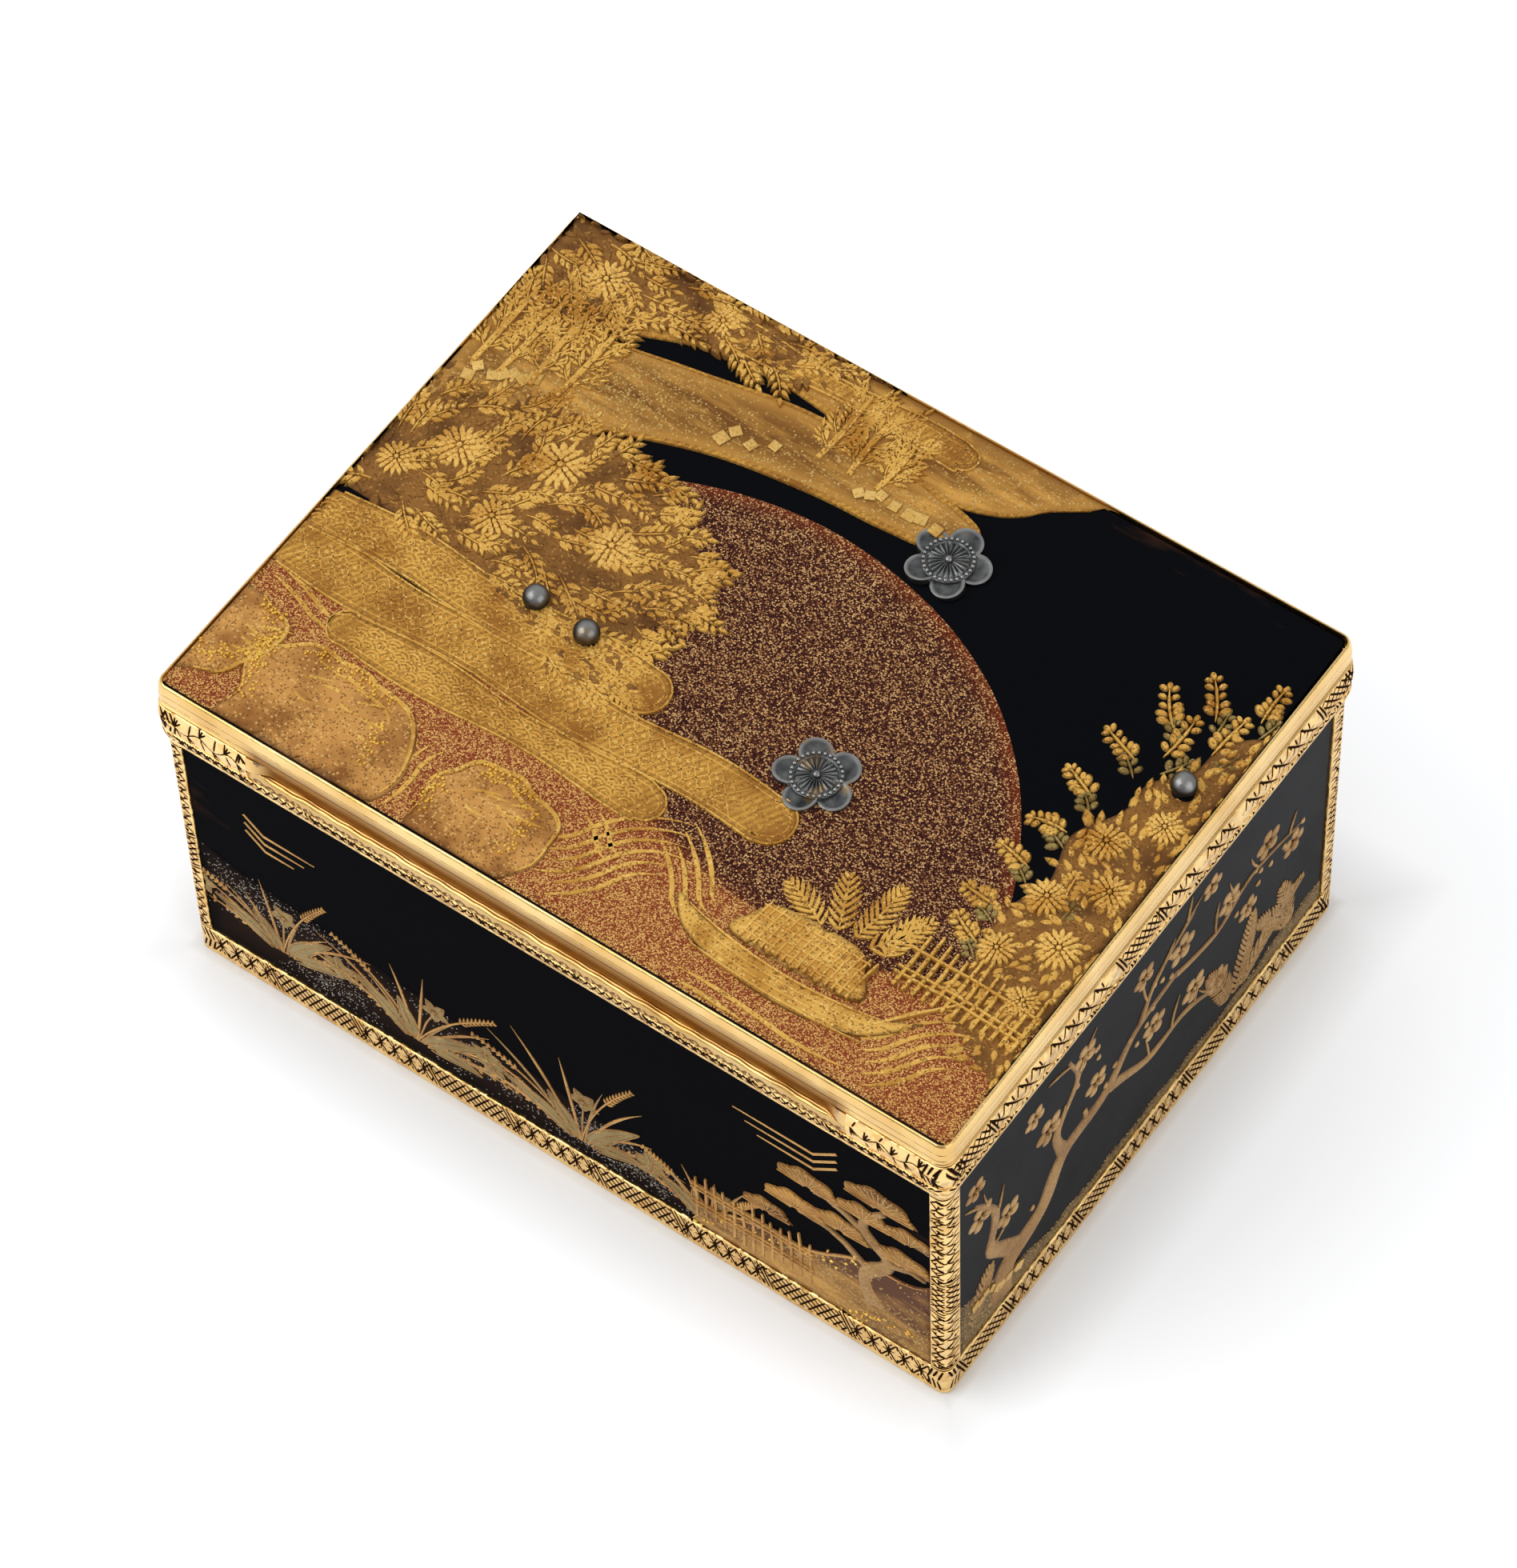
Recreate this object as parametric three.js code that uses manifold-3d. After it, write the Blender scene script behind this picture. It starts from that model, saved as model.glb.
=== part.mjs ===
// A hinged lacquer snuff box: lacquer panels held in a gold cage, under a gold-framed lid.
// Millimetres, +Z up, X along the long side, the front at -Y and the hinge at +Y.
// The origin is the middle of the base.
import * as THREE from "three";
import { mergeVertices } from "three/addons/utils/BufferGeometryUtils.js";
import Module from "manifold-3d";

// Overall box
const boxLength = 80;
const boxWidth = 60;
const bodyHeight = 35; // plane where the lid meets the body
const cornerRadius = 1;
const cornerSteps = 6;
const wallDepth = 2; // cage and panel together, outside to lining
const jointGap = 0.1; // between the closed lid and the body

// Body cage
const baseRailHeight = 3.8;
const baseRailChamfer = 0.2;
const upperRailHeight = 2.95;
const upperRailFlare = 0.5; // how far the mouth stands out past the body
const upperBeadHeight = 0.6;
const upperBeadOut = 0.14;
const pilasterFrontWidth = 1.7;
const pilasterSideWidth = 2.1;
const profileSteps = 5;

// Body panels and lining
const panelRecess = 0.25;
const basePanelInset = 0.3;
const basePanelThickness = 1.6;
const liningThickness = 0.4;
const liningRise = 1.15; // rim of the lining that stands up into the lid
const rimClearance = 0.4; // between that rim and the lid

// Lid frame
const bandHeight = 3.25;
const bandEdgeOut = 0.4;
const bandBulge = 0.6;
const bezelHeight = 3;
const bezelOut = 0.3;
const bezelFoot = 0.9; // straight reeded foot under the quarter round
const bezelWidth = 0.45; // from the box side to the lid panel
const bezelTopWidth = 0.15;

// Lid panel and lining
const lidPanelDrop = 0.4; // below the top of the bezel
const lidPanelThickness = 1;
const lidPanelClearance = 0.05;
const lidLiningThickness = 0.4;

// Thumbpiece: a polished cove running out to a shallow lip along the front
const thumbLength = 61;
const thumbSeatDepth = 0.95; // seat, behind the box front
const coveDepth = 0.35;
const lipOut = 0.85;
const lipWidth = 0.7;
const lipThickness = 0.45;
const lipSlope = 0.4;
const coveTopOut = 0.2;
const coveSteps = 8;

// Hinge
const hingeRadius = 0.95;
const hingePinRadius = 0.45;
const hingePinClearance = 0.08;
const hingeStandOff = 0.2; // axis, out from the flared mouth
const hingeChannelGap = 0.3;
const lidKnuckleCount = 4;
const hingeEndInset = 9.7; // from each end of the box
const knuckleGap = 0.15;
const lugDepth = 1.4;
const lugNear = 0.5; // lug faces, from the joint plane
const lugFar = 1.6;
const roundSegments = 24;

// Silver mounts on the lid, [x, y] of their centres
const backBlossomX = 7.7;
const backBlossomInset = 12.6; // from the back of the box
const frontBlossomCentre = [11, -6.6];
const blossomTurns = [0.25, 0.95]; // radians
const petalCount = 5;
const petalRadius = 1.55;
const petalReach = 2.35; // petal centre, from the blossom centre
const blossomThickness = 0.45;
const blossomHeartRadius = 1.5;
const blossomHeartRise = 0.35;
const pairedStudCentres = [[-18.6, -5.4], [-13, -5.9]];
const sideStudInset = 3.5; // from the right side of the box
const sideStudY = 9.6;
const studRadius = 1.2;
const studRise = 0.75; // ball centre above the lid panel
const studSteps = 8;

// Places that follow from these
const halfLength = boxLength / 2;
const halfWidth = boxWidth / 2;
const bodyTop = bodyHeight - jointGap / 2;
const lidBottom = bodyHeight + jointGap / 2;
const bandTop = lidBottom + bandHeight;
const lidTop = bandTop + bezelHeight;
const upperRailFoot = bodyTop - upperRailHeight;
const lidWallDepth = wallDepth - rimClearance;
const lidPanelTop = lidTop - lidPanelDrop;
const lidLedge = lidPanelTop - lidPanelThickness;
const basePanelTop = basePanelInset + basePanelThickness;
const hingeY = halfWidth + upperRailFlare + hingeStandOff;
const knuckleCount = 2 * lidKnuckleCount + 1;
const hingeHalfLength = halfLength - hingeEndInset;
const knucklePitch = (2 * hingeHalfLength + knuckleGap) / knuckleCount;
const knuckleLength = knucklePitch - knuckleGap;
const blossomCentres = [[backBlossomX, halfWidth - backBlossomInset], frontBlossomCentre];
const studCentres = [...pairedStudCentres, [halfLength - sideStudInset, sideStudY]];
const beyond = boxLength; // reach of cutting boxes past the part

const wasm = await Module();
wasm.setup();

function finish(color, roughness, metalness) {
  return new THREE.MeshStandardMaterial({ color, roughness, metalness });
}

const engravedGold = finish(0xe3c27c, 0.38, 1);
const polishedGold = finish(0xf0d190, 0.15, 1);
const liningGold = finish(0xe8c883, 0.25, 1);
const blackLacquer = finish(0x08090e, 0.12, 0);
const pictureLacquer = finish(0x8a5a24, 0.2, 0.2);
const silver = finish(0x85878c, 0.35, 1);
const steel = finish(0x9a9a98, 0.3, 1);

// A solid that can be joined and cut, from a closed geometry.
function toSolid(geometry) {
  const bare = new THREE.BufferGeometry();
  bare.setAttribute("position", geometry.getAttribute("position"));
  bare.setIndex(geometry.index);
  const merged = mergeVertices(bare, 1e-4);
  const corners = [...merged.index.array];
  const triVerts = [];
  for (let i = 0; i < corners.length; i += 3) {
    const [a, b, c] = corners.slice(i, i + 3);
    if (a !== b && b !== c && c !== a) triVerts.push(a, b, c);
  }
  return new wasm.Manifold(
    new wasm.Mesh({
      numProp: 3,
      vertProperties: new Float32Array(merged.attributes.position.array),
      triVerts: new Uint32Array(triVerts),
    }),
  );
}

function toMesh(name, solid, material) {
  const { vertProperties, triVerts } = solid.getMesh();
  const geometry = new THREE.BufferGeometry();
  geometry.setAttribute("position", new THREE.BufferAttribute(vertProperties, 3));
  geometry.setIndex(new THREE.BufferAttribute(triVerts, 1));
  geometry.computeVertexNormals();
  const mesh = new THREE.Mesh(geometry, material);
  mesh.name = name;
  return mesh;
}

// A box between two corners, with faces exactly on the given planes.
function boxSolid(low, high) {
  const geometry = new THREE.BoxGeometry(1, 1, 1);
  const position = geometry.getAttribute("position");
  for (let i = 0; i < position.count; i++) {
    position.setXYZ(
      i,
      position.getX(i) < 0 ? low[0] : high[0],
      position.getY(i) < 0 ? low[1] : high[1],
      position.getZ(i) < 0 ? low[2] : high[2],
    );
  }
  return toSolid(geometry);
}

// A box of the given half sizes, centred on the vertical axis.
function centredBox(halfX, halfY, low, high) {
  return boxSolid([-halfX, -halfY, low], [halfX, halfY, high]);
}

// The box outline grown by `out`, with rounded corners, at one height.
function outlineLoop([out, z]) {
  const radius = cornerRadius + out;
  const points = [];
  for (let corner = 0; corner < 4; corner++) {
    const sideX = corner === 0 || corner === 3 ? 1 : -1;
    const sideY = corner < 2 ? 1 : -1;
    for (let step = 0; step <= cornerSteps; step++) {
      const angle = ((corner + step / cornerSteps) * Math.PI) / 2;
      points.push([
        sideX * (halfLength + out - radius) + radius * Math.cos(angle),
        sideY * (halfWidth + out - radius) + radius * Math.sin(angle),
        z,
      ]);
    }
  }
  return points;
}

// A solid block whose side follows a profile of [out, height], from the bottom up.
function profiledBlock(profile) {
  const loops = profile.map(outlineLoop);
  const size = loops[0].length;
  const top = loops.length - 1;
  const bottomCentre = loops.length * size;
  const topCentre = bottomCentre + 1;
  const index = [];
  for (let j = 0; j < size; j++) {
    const next = (j + 1) % size;
    for (let k = 0; k < top; k++) {
      const a = k * size + j;
      const b = k * size + next;
      index.push(a, b, b + size, a, b + size, a + size);
    }
    index.push(bottomCentre, next, j);
    index.push(topCentre, top * size + j, top * size + next);
  }
  const points = [...loops.flat(), [0, 0, profile[0][1]], [0, 0, profile[top][1]]];
  const geometry = new THREE.BufferGeometry();
  geometry.setAttribute("position", new THREE.Float32BufferAttribute(points.flat(), 3));
  geometry.setIndex(index);
  return toSolid(geometry);
}

// Front, back, left and right lengths of a frame, the sides fitting between the other two.
function frameLengths(frame, depth) {
  const innerX = halfLength - depth;
  const innerY = halfWidth - depth;
  return {
    front: frame.intersect(boxSolid([-beyond, -beyond, -beyond], [beyond, -innerY, beyond])),
    back: frame.intersect(boxSolid([-beyond, innerY, -beyond], [beyond, beyond, beyond])),
    left: frame.intersect(boxSolid([-beyond, -innerY, -beyond], [-innerX + depth / 2, innerY, beyond])),
    right: frame.intersect(boxSolid([innerX - depth / 2, -innerY, -beyond], [beyond, innerY, beyond])),
  };
}

// A round bar along X on the hinge axis.
function hingeBar(radius, fromX, toX) {
  const bar = new THREE.CylinderGeometry(radius, radius, toX - fromX, roundSegments);
  bar.rotateZ(Math.PI / 2);
  bar.translate((fromX + toX) / 2, hingeY, bodyHeight);
  return toSolid(bar);
}

// Span along X of knuckle number `i`, counted from the left.
function knuckleSpan(i) {
  const fromX = -hingeHalfLength + i * knucklePitch;
  return [fromX, fromX + knuckleLength];
}

// The lug that seats knuckle `i` in the frame: below the axis on the body, above it on the lid.
function lugSolid(i, side) {
  const [fromX, toX] = knuckleSpan(i);
  const faces = [bodyHeight + side * lugNear, bodyHeight + side * lugFar];
  return boxSolid(
    [fromX, hingeY - lugDepth, Math.min(...faces)],
    [toX, hingeY, Math.max(...faces)],
  );
}

function knuckleSolid(i, side) {
  const [fromX, toX] = knuckleSpan(i);
  const bore = hingeBar(hingePinRadius + hingePinClearance, -beyond, beyond);
  return hingeBar(hingeRadius, fromX, toX).add(lugSolid(i, side)).subtract(bore);
}

// Cuts the round channel of the hinge and the seats of one side's lugs.
function cutForHinge(solid, side) {
  const reach = hingeHalfLength + hingeChannelGap;
  let cut = solid.subtract(hingeBar(hingeRadius + hingeChannelGap, -reach, reach));
  for (let i = side < 0 ? 0 : 1; i < knuckleCount; i += 2) {
    const [fromX, toX] = knuckleSpan(i);
    const low = side < 0 ? bodyHeight - lugFar : bodyHeight + lugNear;
    const high = side < 0 ? bodyHeight - lugNear : bodyHeight + lugFar;
    cut = cut.subtract(boxSolid([fromX, hingeY - lugDepth, low], [toX, hingeY, high]));
  }
  return cut;
}

function addBaseRails(body) {
  const frame = profiledBlock([
    [-baseRailChamfer, 0],
    [0, baseRailChamfer],
    [0, baseRailHeight],
  ]).subtract(centredBox(halfLength - wallDepth, halfWidth - wallDepth, -1, beyond));
  for (const [side, solid] of Object.entries(frameLengths(frame, wallDepth))) {
    body.add(toMesh(`base_rail_${side}`, solid, engravedGold));
  }
}

function addPilasters(body) {
  const column = profiledBlock([[0, baseRailHeight], [0, upperRailFoot]]);
  const innerX = halfLength - pilasterFrontWidth;
  const innerY = halfWidth - pilasterSideWidth;
  const corners = {
    front_left: [-1, -1],
    front_right: [1, -1],
    back_left: [-1, 1],
    back_right: [1, 1],
  };
  for (const [place, [sideX, sideY]] of Object.entries(corners)) {
    const farX = sideX * beyond;
    const farY = sideY * beyond;
    const low = [Math.min(sideX * innerX, farX), Math.min(sideY * innerY, farY), 0];
    const high = [Math.max(sideX * innerX, farX), Math.max(sideY * innerY, farY), beyond];
    body.add(toMesh(`pilaster_${place}`, column.intersect(boxSolid(low, high)), engravedGold));
  }
}

function addUpperRails(body) {
  const profile = [[upperBeadOut, upperRailFoot]];
  for (let step = 0; step <= profileSteps; step++) {
    const t = step / profileSteps;
    const rise = upperRailHeight - upperBeadHeight;
    profile.push([
      upperBeadOut + (upperRailFlare - upperBeadOut) * Math.sin((t * Math.PI) / 2),
      upperRailFoot + upperBeadHeight + t * rise,
    ]);
  }
  const inner = centredBox(halfLength - wallDepth, halfWidth - wallDepth, 0, beyond);
  const frame = profiledBlock(profile).subtract(inner);
  for (const [side, solid] of Object.entries(frameLengths(frame, wallDepth))) {
    const rail = side === "back" ? cutForHinge(solid, -1) : solid;
    body.add(toMesh(`upper_rail_${side}`, rail, engravedGold));
  }
}

function addBodyPanels(body) {
  const outerX = halfLength - panelRecess;
  const outerY = halfWidth - panelRecess;
  const innerX = halfLength - wallDepth;
  const innerY = halfWidth - wallDepth;
  const endX = halfLength - pilasterFrontWidth;
  const endY = Math.min(halfWidth - pilasterSideWidth, innerY);
  const low = baseRailHeight;
  const high = upperRailFoot;
  const panels = {
    front: [[-endX, -outerY, low], [endX, -innerY, high]],
    back: [[-endX, innerY, low], [endX, outerY, high]],
    left: [[-outerX, -endY, low], [-innerX, endY, high]],
    right: [[innerX, -endY, low], [outerX, endY, high]],
  };
  for (const [side, corners] of Object.entries(panels)) {
    body.add(toMesh(`lacquer_panel_${side}`, boxSolid(...corners), blackLacquer));
  }
  const base = centredBox(innerX, innerY, basePanelInset, basePanelTop);
  body.add(toMesh("lacquer_panel_base", base, blackLacquer));
}

function addLining(body) {
  const outerX = halfLength - wallDepth;
  const outerY = halfWidth - wallDepth;
  const rim = bodyTop + liningRise;
  const hollow = centredBox(
    outerX - liningThickness,
    outerY - liningThickness,
    basePanelTop + liningThickness,
    beyond,
  );
  const tray = centredBox(outerX, outerY, basePanelTop, rim).subtract(hollow);
  body.add(toMesh("body_lining", tray, liningGold));
}

function addHinge(body, lid) {
  for (let i = 0; i < knuckleCount; i++) {
    const onBody = i % 2 === 0;
    const number = Math.floor(i / 2) + 1;
    const name = onBody ? `body_knuckle_${number}` : `lid_knuckle_${number}`;
    const knuckle = toMesh(name, knuckleSolid(i, onBody ? -1 : 1), polishedGold);
    (onBody ? body : lid).add(knuckle);
  }
  const pin = hingeBar(hingePinRadius, -hingeHalfLength, hingeHalfLength);
  body.add(toMesh("hinge_pin", pin, steel));
}

function addLidBand(lid) {
  const profile = [];
  for (let step = 0; step <= profileSteps; step++) {
    const t = step / profileSteps;
    profile.push([
      bandEdgeOut + (bandBulge - bandEdgeOut) * Math.sin(t * Math.PI),
      lidBottom + t * bandHeight,
    ]);
  }
  const inner = centredBox(halfLength - lidWallDepth, halfWidth - lidWallDepth, 0, beyond);
  const lengths = frameLengths(profiledBlock(profile).subtract(inner), lidWallDepth);
  const seatY = thumbSeatDepth - halfWidth;
  const thumbSeat = boxSolid([-thumbLength / 2, -beyond, 0], [thumbLength / 2, seatY, beyond]);
  lengths.front = lengths.front.subtract(thumbSeat);
  lengths.back = cutForHinge(lengths.back, 1);
  for (const [side, solid] of Object.entries(lengths)) {
    lid.add(toMesh(`lid_band_${side}`, solid, engravedGold));
  }
}

function addThumbpiece(lid) {
  const lipInner = lipOut - lipWidth;
  const lipTop = lidBottom + lipThickness + lipSlope;
  const section = new THREE.Shape();
  section.moveTo(-thumbSeatDepth, lidBottom);
  section.lineTo(lipOut, lidBottom);
  section.lineTo(lipOut, lidBottom + lipThickness);
  section.lineTo(lipInner, lipTop);
  section.bezierCurveTo(
    -coveDepth,
    lipTop,
    -coveDepth,
    bandTop,
    coveTopOut,
    bandTop,
  );
  section.lineTo(-thumbSeatDepth, bandTop);
  const bar = new THREE.ExtrudeGeometry(section, {
    depth: thumbLength,
    curveSegments: coveSteps,
    bevelEnabled: false,
  });
  const turn = new THREE.Matrix4().makeBasis(
    new THREE.Vector3(0, -1, 0),
    new THREE.Vector3(0, 0, 1),
    new THREE.Vector3(-1, 0, 0),
  );
  turn.setPosition(thumbLength / 2, -halfWidth, 0);
  bar.applyMatrix4(turn);
  lid.add(toMesh("thumbpiece", toSolid(bar), polishedGold));
}

function addLidBezel(lid) {
  const quarterFoot = bandTop + bezelFoot;
  const profile = [[bezelOut, bandTop]];
  for (let step = 0; step <= profileSteps; step++) {
    const angle = (step / profileSteps) * (Math.PI / 2);
    const inner = bezelTopWidth - bezelWidth;
    profile.push([
      inner + (bezelOut - inner) * Math.cos(angle),
      quarterFoot + (lidTop - quarterFoot) * Math.sin(angle),
    ]);
  }
  const inner = centredBox(halfLength - lidWallDepth, halfWidth - lidWallDepth, 0, beyond);
  const seat = profiledBlock([[-bezelWidth, lidLedge], [-bezelWidth, beyond]]);
  const frame = profiledBlock(profile).subtract(inner).subtract(seat);
  for (const [side, solid] of Object.entries(frameLengths(frame, lidWallDepth))) {
    lid.add(toMesh(`lid_bezel_${side}`, solid, polishedGold));
  }
}

function addLidPanel(lid) {
  const edge = -bezelWidth - lidPanelClearance;
  const panel = profiledBlock([[edge, lidLedge], [edge, lidPanelTop]]);
  lid.add(toMesh("lid_lacquer_panel", panel, pictureLacquer));
  const plate = centredBox(
    halfLength - lidWallDepth,
    halfWidth - lidWallDepth,
    lidLedge - lidLiningThickness,
    lidLedge,
  );
  lid.add(toMesh("lid_lining", plate, liningGold));
}

function disc(radius, height, x, y) {
  const cylinder = new THREE.CylinderGeometry(radius, radius, height, roundSegments);
  cylinder.rotateX(Math.PI / 2);
  cylinder.translate(x, y, lidPanelTop + height / 2);
  return toSolid(cylinder);
}

function addBlossoms(lid) {
  blossomCentres.forEach(([x, y], number) => {
    let blossom = disc(blossomHeartRadius, blossomThickness + blossomHeartRise, x, y);
    for (let petal = 0; petal < petalCount; petal++) {
      const angle = blossomTurns[number] + (petal * 2 * Math.PI) / petalCount;
      const petalX = x + petalReach * Math.cos(angle);
      const petalY = y + petalReach * Math.sin(angle);
      blossom = blossom.add(disc(petalRadius, blossomThickness, petalX, petalY));
    }
    lid.add(toMesh(`silver_blossom_${number + 1}`, blossom, silver));
  });
}

function addStuds(lid) {
  const lowest = -Math.asin(studRise / studRadius);
  const profile = [new THREE.Vector2(0, -studRise)];
  for (let step = 0; step <= studSteps; step++) {
    const angle = lowest + (step / studSteps) * (Math.PI / 2 - lowest);
    const radius = step === studSteps ? 0 : studRadius * Math.cos(angle);
    profile.push(new THREE.Vector2(radius, studRadius * Math.sin(angle)));
  }
  studCentres.forEach(([x, y], number) => {
    const ball = new THREE.LatheGeometry(profile, roundSegments);
    ball.rotateX(Math.PI / 2);
    ball.translate(x, y, lidPanelTop + studRise);
    lid.add(toMesh(`silver_stud_${number + 1}`, toSolid(ball), silver));
  });
}

const snuffBox = new THREE.Group();
const body = new THREE.Group();
const lid = new THREE.Group();
snuffBox.add(body, lid);

addBaseRails(body);
addPilasters(body);
addUpperRails(body);
addBodyPanels(body);
addLining(body);
addHinge(body, lid);
addLidBand(lid);
addThumbpiece(lid);
addLidBezel(lid);
addLidPanel(lid);
addBlossoms(lid);
addStuds(lid);

export default snuffBox;
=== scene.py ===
import math
import random

import bpy
import numpy as np
from mathutils import Matrix, Vector
from mathutils.geometry import delaunay_2d_cdt


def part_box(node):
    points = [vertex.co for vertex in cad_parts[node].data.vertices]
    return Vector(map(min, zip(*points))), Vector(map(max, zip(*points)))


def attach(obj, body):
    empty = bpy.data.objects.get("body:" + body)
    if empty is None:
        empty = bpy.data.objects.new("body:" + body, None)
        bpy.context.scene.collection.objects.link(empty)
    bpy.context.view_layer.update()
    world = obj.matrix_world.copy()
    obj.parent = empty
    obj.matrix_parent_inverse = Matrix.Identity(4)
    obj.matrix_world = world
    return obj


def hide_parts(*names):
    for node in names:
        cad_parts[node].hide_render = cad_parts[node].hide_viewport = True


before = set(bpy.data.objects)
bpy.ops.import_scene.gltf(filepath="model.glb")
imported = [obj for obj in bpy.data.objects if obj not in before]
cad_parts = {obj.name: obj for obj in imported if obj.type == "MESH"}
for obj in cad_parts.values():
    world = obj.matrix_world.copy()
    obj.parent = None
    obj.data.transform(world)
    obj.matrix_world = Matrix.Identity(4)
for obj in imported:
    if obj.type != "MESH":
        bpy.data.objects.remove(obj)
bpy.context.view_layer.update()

mm = 0.001
halfLength, halfWidth = 40.0, 30.0
lidPanelTop, wallOut = 40.9, 0.25  # the side panels lie this far inside the mounts
fourSides = ("front", "back", "left", "right")
random.seed(7)
chance = np.random.default_rng(7)
bpy.ops.object.select_all(action="DESELECT")


# Camera, at the photograph's viewing angle
photoView = {"azimuth": 37.505, "elevation": 56.592, "roll": -2.563, "distance": 611.53, "aimHeight": 18.0,
        "slideRight": 0.222, "slideUp": -2.416, "lens": 8881.0 * 36 / 1960}


def addCamera():
    a, e, r = (math.radians(photoView[k]) for k in ("azimuth", "elevation", "roll"))
    back = Vector((math.sin(a) * math.cos(e), -math.cos(a) * math.cos(e), math.sin(e)))
    flatRight = Vector((math.cos(a), math.sin(a), 0))
    flatUp = back.cross(flatRight)
    right = flatRight * math.cos(r) + flatUp * math.sin(r)
    up = flatUp * math.cos(r) - flatRight * math.sin(r)
    place = back * photoView["distance"] - right * photoView["slideRight"] - up * photoView["slideUp"]
    place.z += photoView["aimHeight"]
    bpy.ops.object.camera_add()
    camera = bpy.context.active_object
    camera.name = "camera"
    camera.matrix_world = Matrix.Translation(place * mm) @ Matrix((right, up, back)).transposed().to_4x4()
    camera.data.lens = photoView["lens"]
    camera.data.sensor_width = 36
    camera.data.clip_start, camera.data.clip_end = 0.01, 10
    bpy.context.scene.camera = camera


# Nodes
def addNode(tree, kind, inputs=None, **settings):
    made = tree.nodes.new(kind)
    for key, value in settings.items():
        setattr(made, key, value)
    for key, value in (inputs or {}).items():
        if isinstance(value, bpy.types.NodeSocket):
            tree.links.new(value, made.inputs[key])
        else:
            made.inputs[key].default_value = value
    return made


def tone(red, green, blue):  # a colour as seen on screen, 0 to 255
    parts = [c / 255 for c in (red, green, blue)]
    return [c / 12.92 if c < 0.04045 else ((c + 0.055) / 1.055) ** 2.4 for c in parts] + [1]


def mixColor(tree, share, low, high, blend="MIX"):
    made = addNode(tree, "ShaderNodeMix", {0: share, 6: low, 7: high}, data_type="RGBA", blend_type=blend)
    return made.outputs[2]


def remap(tree, value, fromLow, fromHigh, toLow=0.0, toHigh=1.0):
    made = addNode(tree, "ShaderNodeMapRange", {0: value, 1: fromLow, 2: fromHigh, 3: toLow, 4: toHigh})
    return made.outputs[0]


def mathNode(tree, operation, first, second=0.5):
    return addNode(tree, "ShaderNodeMath", {0: first, 1: second}, operation=operation).outputs[0]


def times(tree, first, second):
    return mathNode(tree, "MULTIPLY", first, second)


def noise(tree, where, scale, detail=2.0, roughness=0.5):
    return addNode(tree, "ShaderNodeTexNoise", {
        "Vector": where, "Scale": scale, "Detail": detail, "Roughness": roughness}).outputs[0]


def drawnOut(tree, where, stretch, turn=(0, 0, 0)):
    return addNode(tree, "ShaderNodeMapping", {"Vector": where, "Rotation": turn, "Scale": stretch}).outputs[0]


def splitColor(tree, color):
    return addNode(tree, "ShaderNodeSeparateColor", {0: color}).outputs


def newGroup(name, inputs, outputs):
    tree = bpy.data.node_groups.new(name, "ShaderNodeTree")
    for key, (kind, value) in inputs.items():
        made = tree.interface.new_socket(key, in_out="INPUT", socket_type=kind)
        if value is not None:
            made.default_value = value
    for key, kind in outputs.items():
        tree.interface.new_socket(key, in_out="OUTPUT", socket_type=kind)
    return tree, tree.nodes.new("NodeGroupInput").outputs, tree.nodes.new("NodeGroupOutput").inputs


def buildSprinkleGroup():  # metal flakes sprinkled in lacquer
    number, vector = "NodeSocketFloat", "NodeSocketVector"
    tree, given, out = newGroup("sprinkledFlakes", {
        "Vector": (vector, None), "Flakes per metre": (number, 6000.0), "Density": (number, 0.4),
        "Drift": (number, 0.1), "Drift scale": (number, 120.0)}, {"Mask": number, "Glint": number})
    cells = addNode(tree, "ShaderNodeTexVoronoi",
            {"Vector": given["Vector"], "Scale": given["Flakes per metre"]})
    parts = splitColor(tree, cells.outputs["Color"])
    cloud = noise(tree, given["Vector"], given["Drift scale"], 3.0)
    shift = times(tree, mathNode(tree, "SUBTRACT", cloud, 0.5), given["Drift"])
    limit = mathNode(tree, "ADD", given["Density"], times(tree, shift, 4.0))
    lit = mathNode(tree, "LESS_THAN", parts[0], limit)
    core = remap(tree, cells.outputs["Distance"], 0.62, 0.45)
    tree.links.new(times(tree, lit, core), out["Mask"])
    tree.links.new(parts[1], out["Glint"])
    return tree


def buildWearGroup():  # rubbed and scuffed places
    number, vector = "NodeSocketFloat", "NodeSocketVector"
    tree, given, out = newGroup("rubbedWear", {
        "Vector": (vector, None), "Scale": (number, 90.0), "Amount": (number, 0.3),
        "Grit": (number, 900.0)}, {"Mask": number})
    broad = noise(tree, given["Vector"], given["Scale"], 4.0, 0.6)
    fine = noise(tree, given["Vector"], given["Grit"])
    summed = mathNode(tree, "ADD", times(tree, broad, 0.8), times(tree, fine, 0.2))
    edge = mathNode(tree, "SUBTRACT", 0.78, times(tree, given["Amount"], 0.4))
    tree.links.new(remap(tree, mathNode(tree, "SUBTRACT", summed, edge), 0.0, 0.1), out["Mask"])
    return tree


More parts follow.
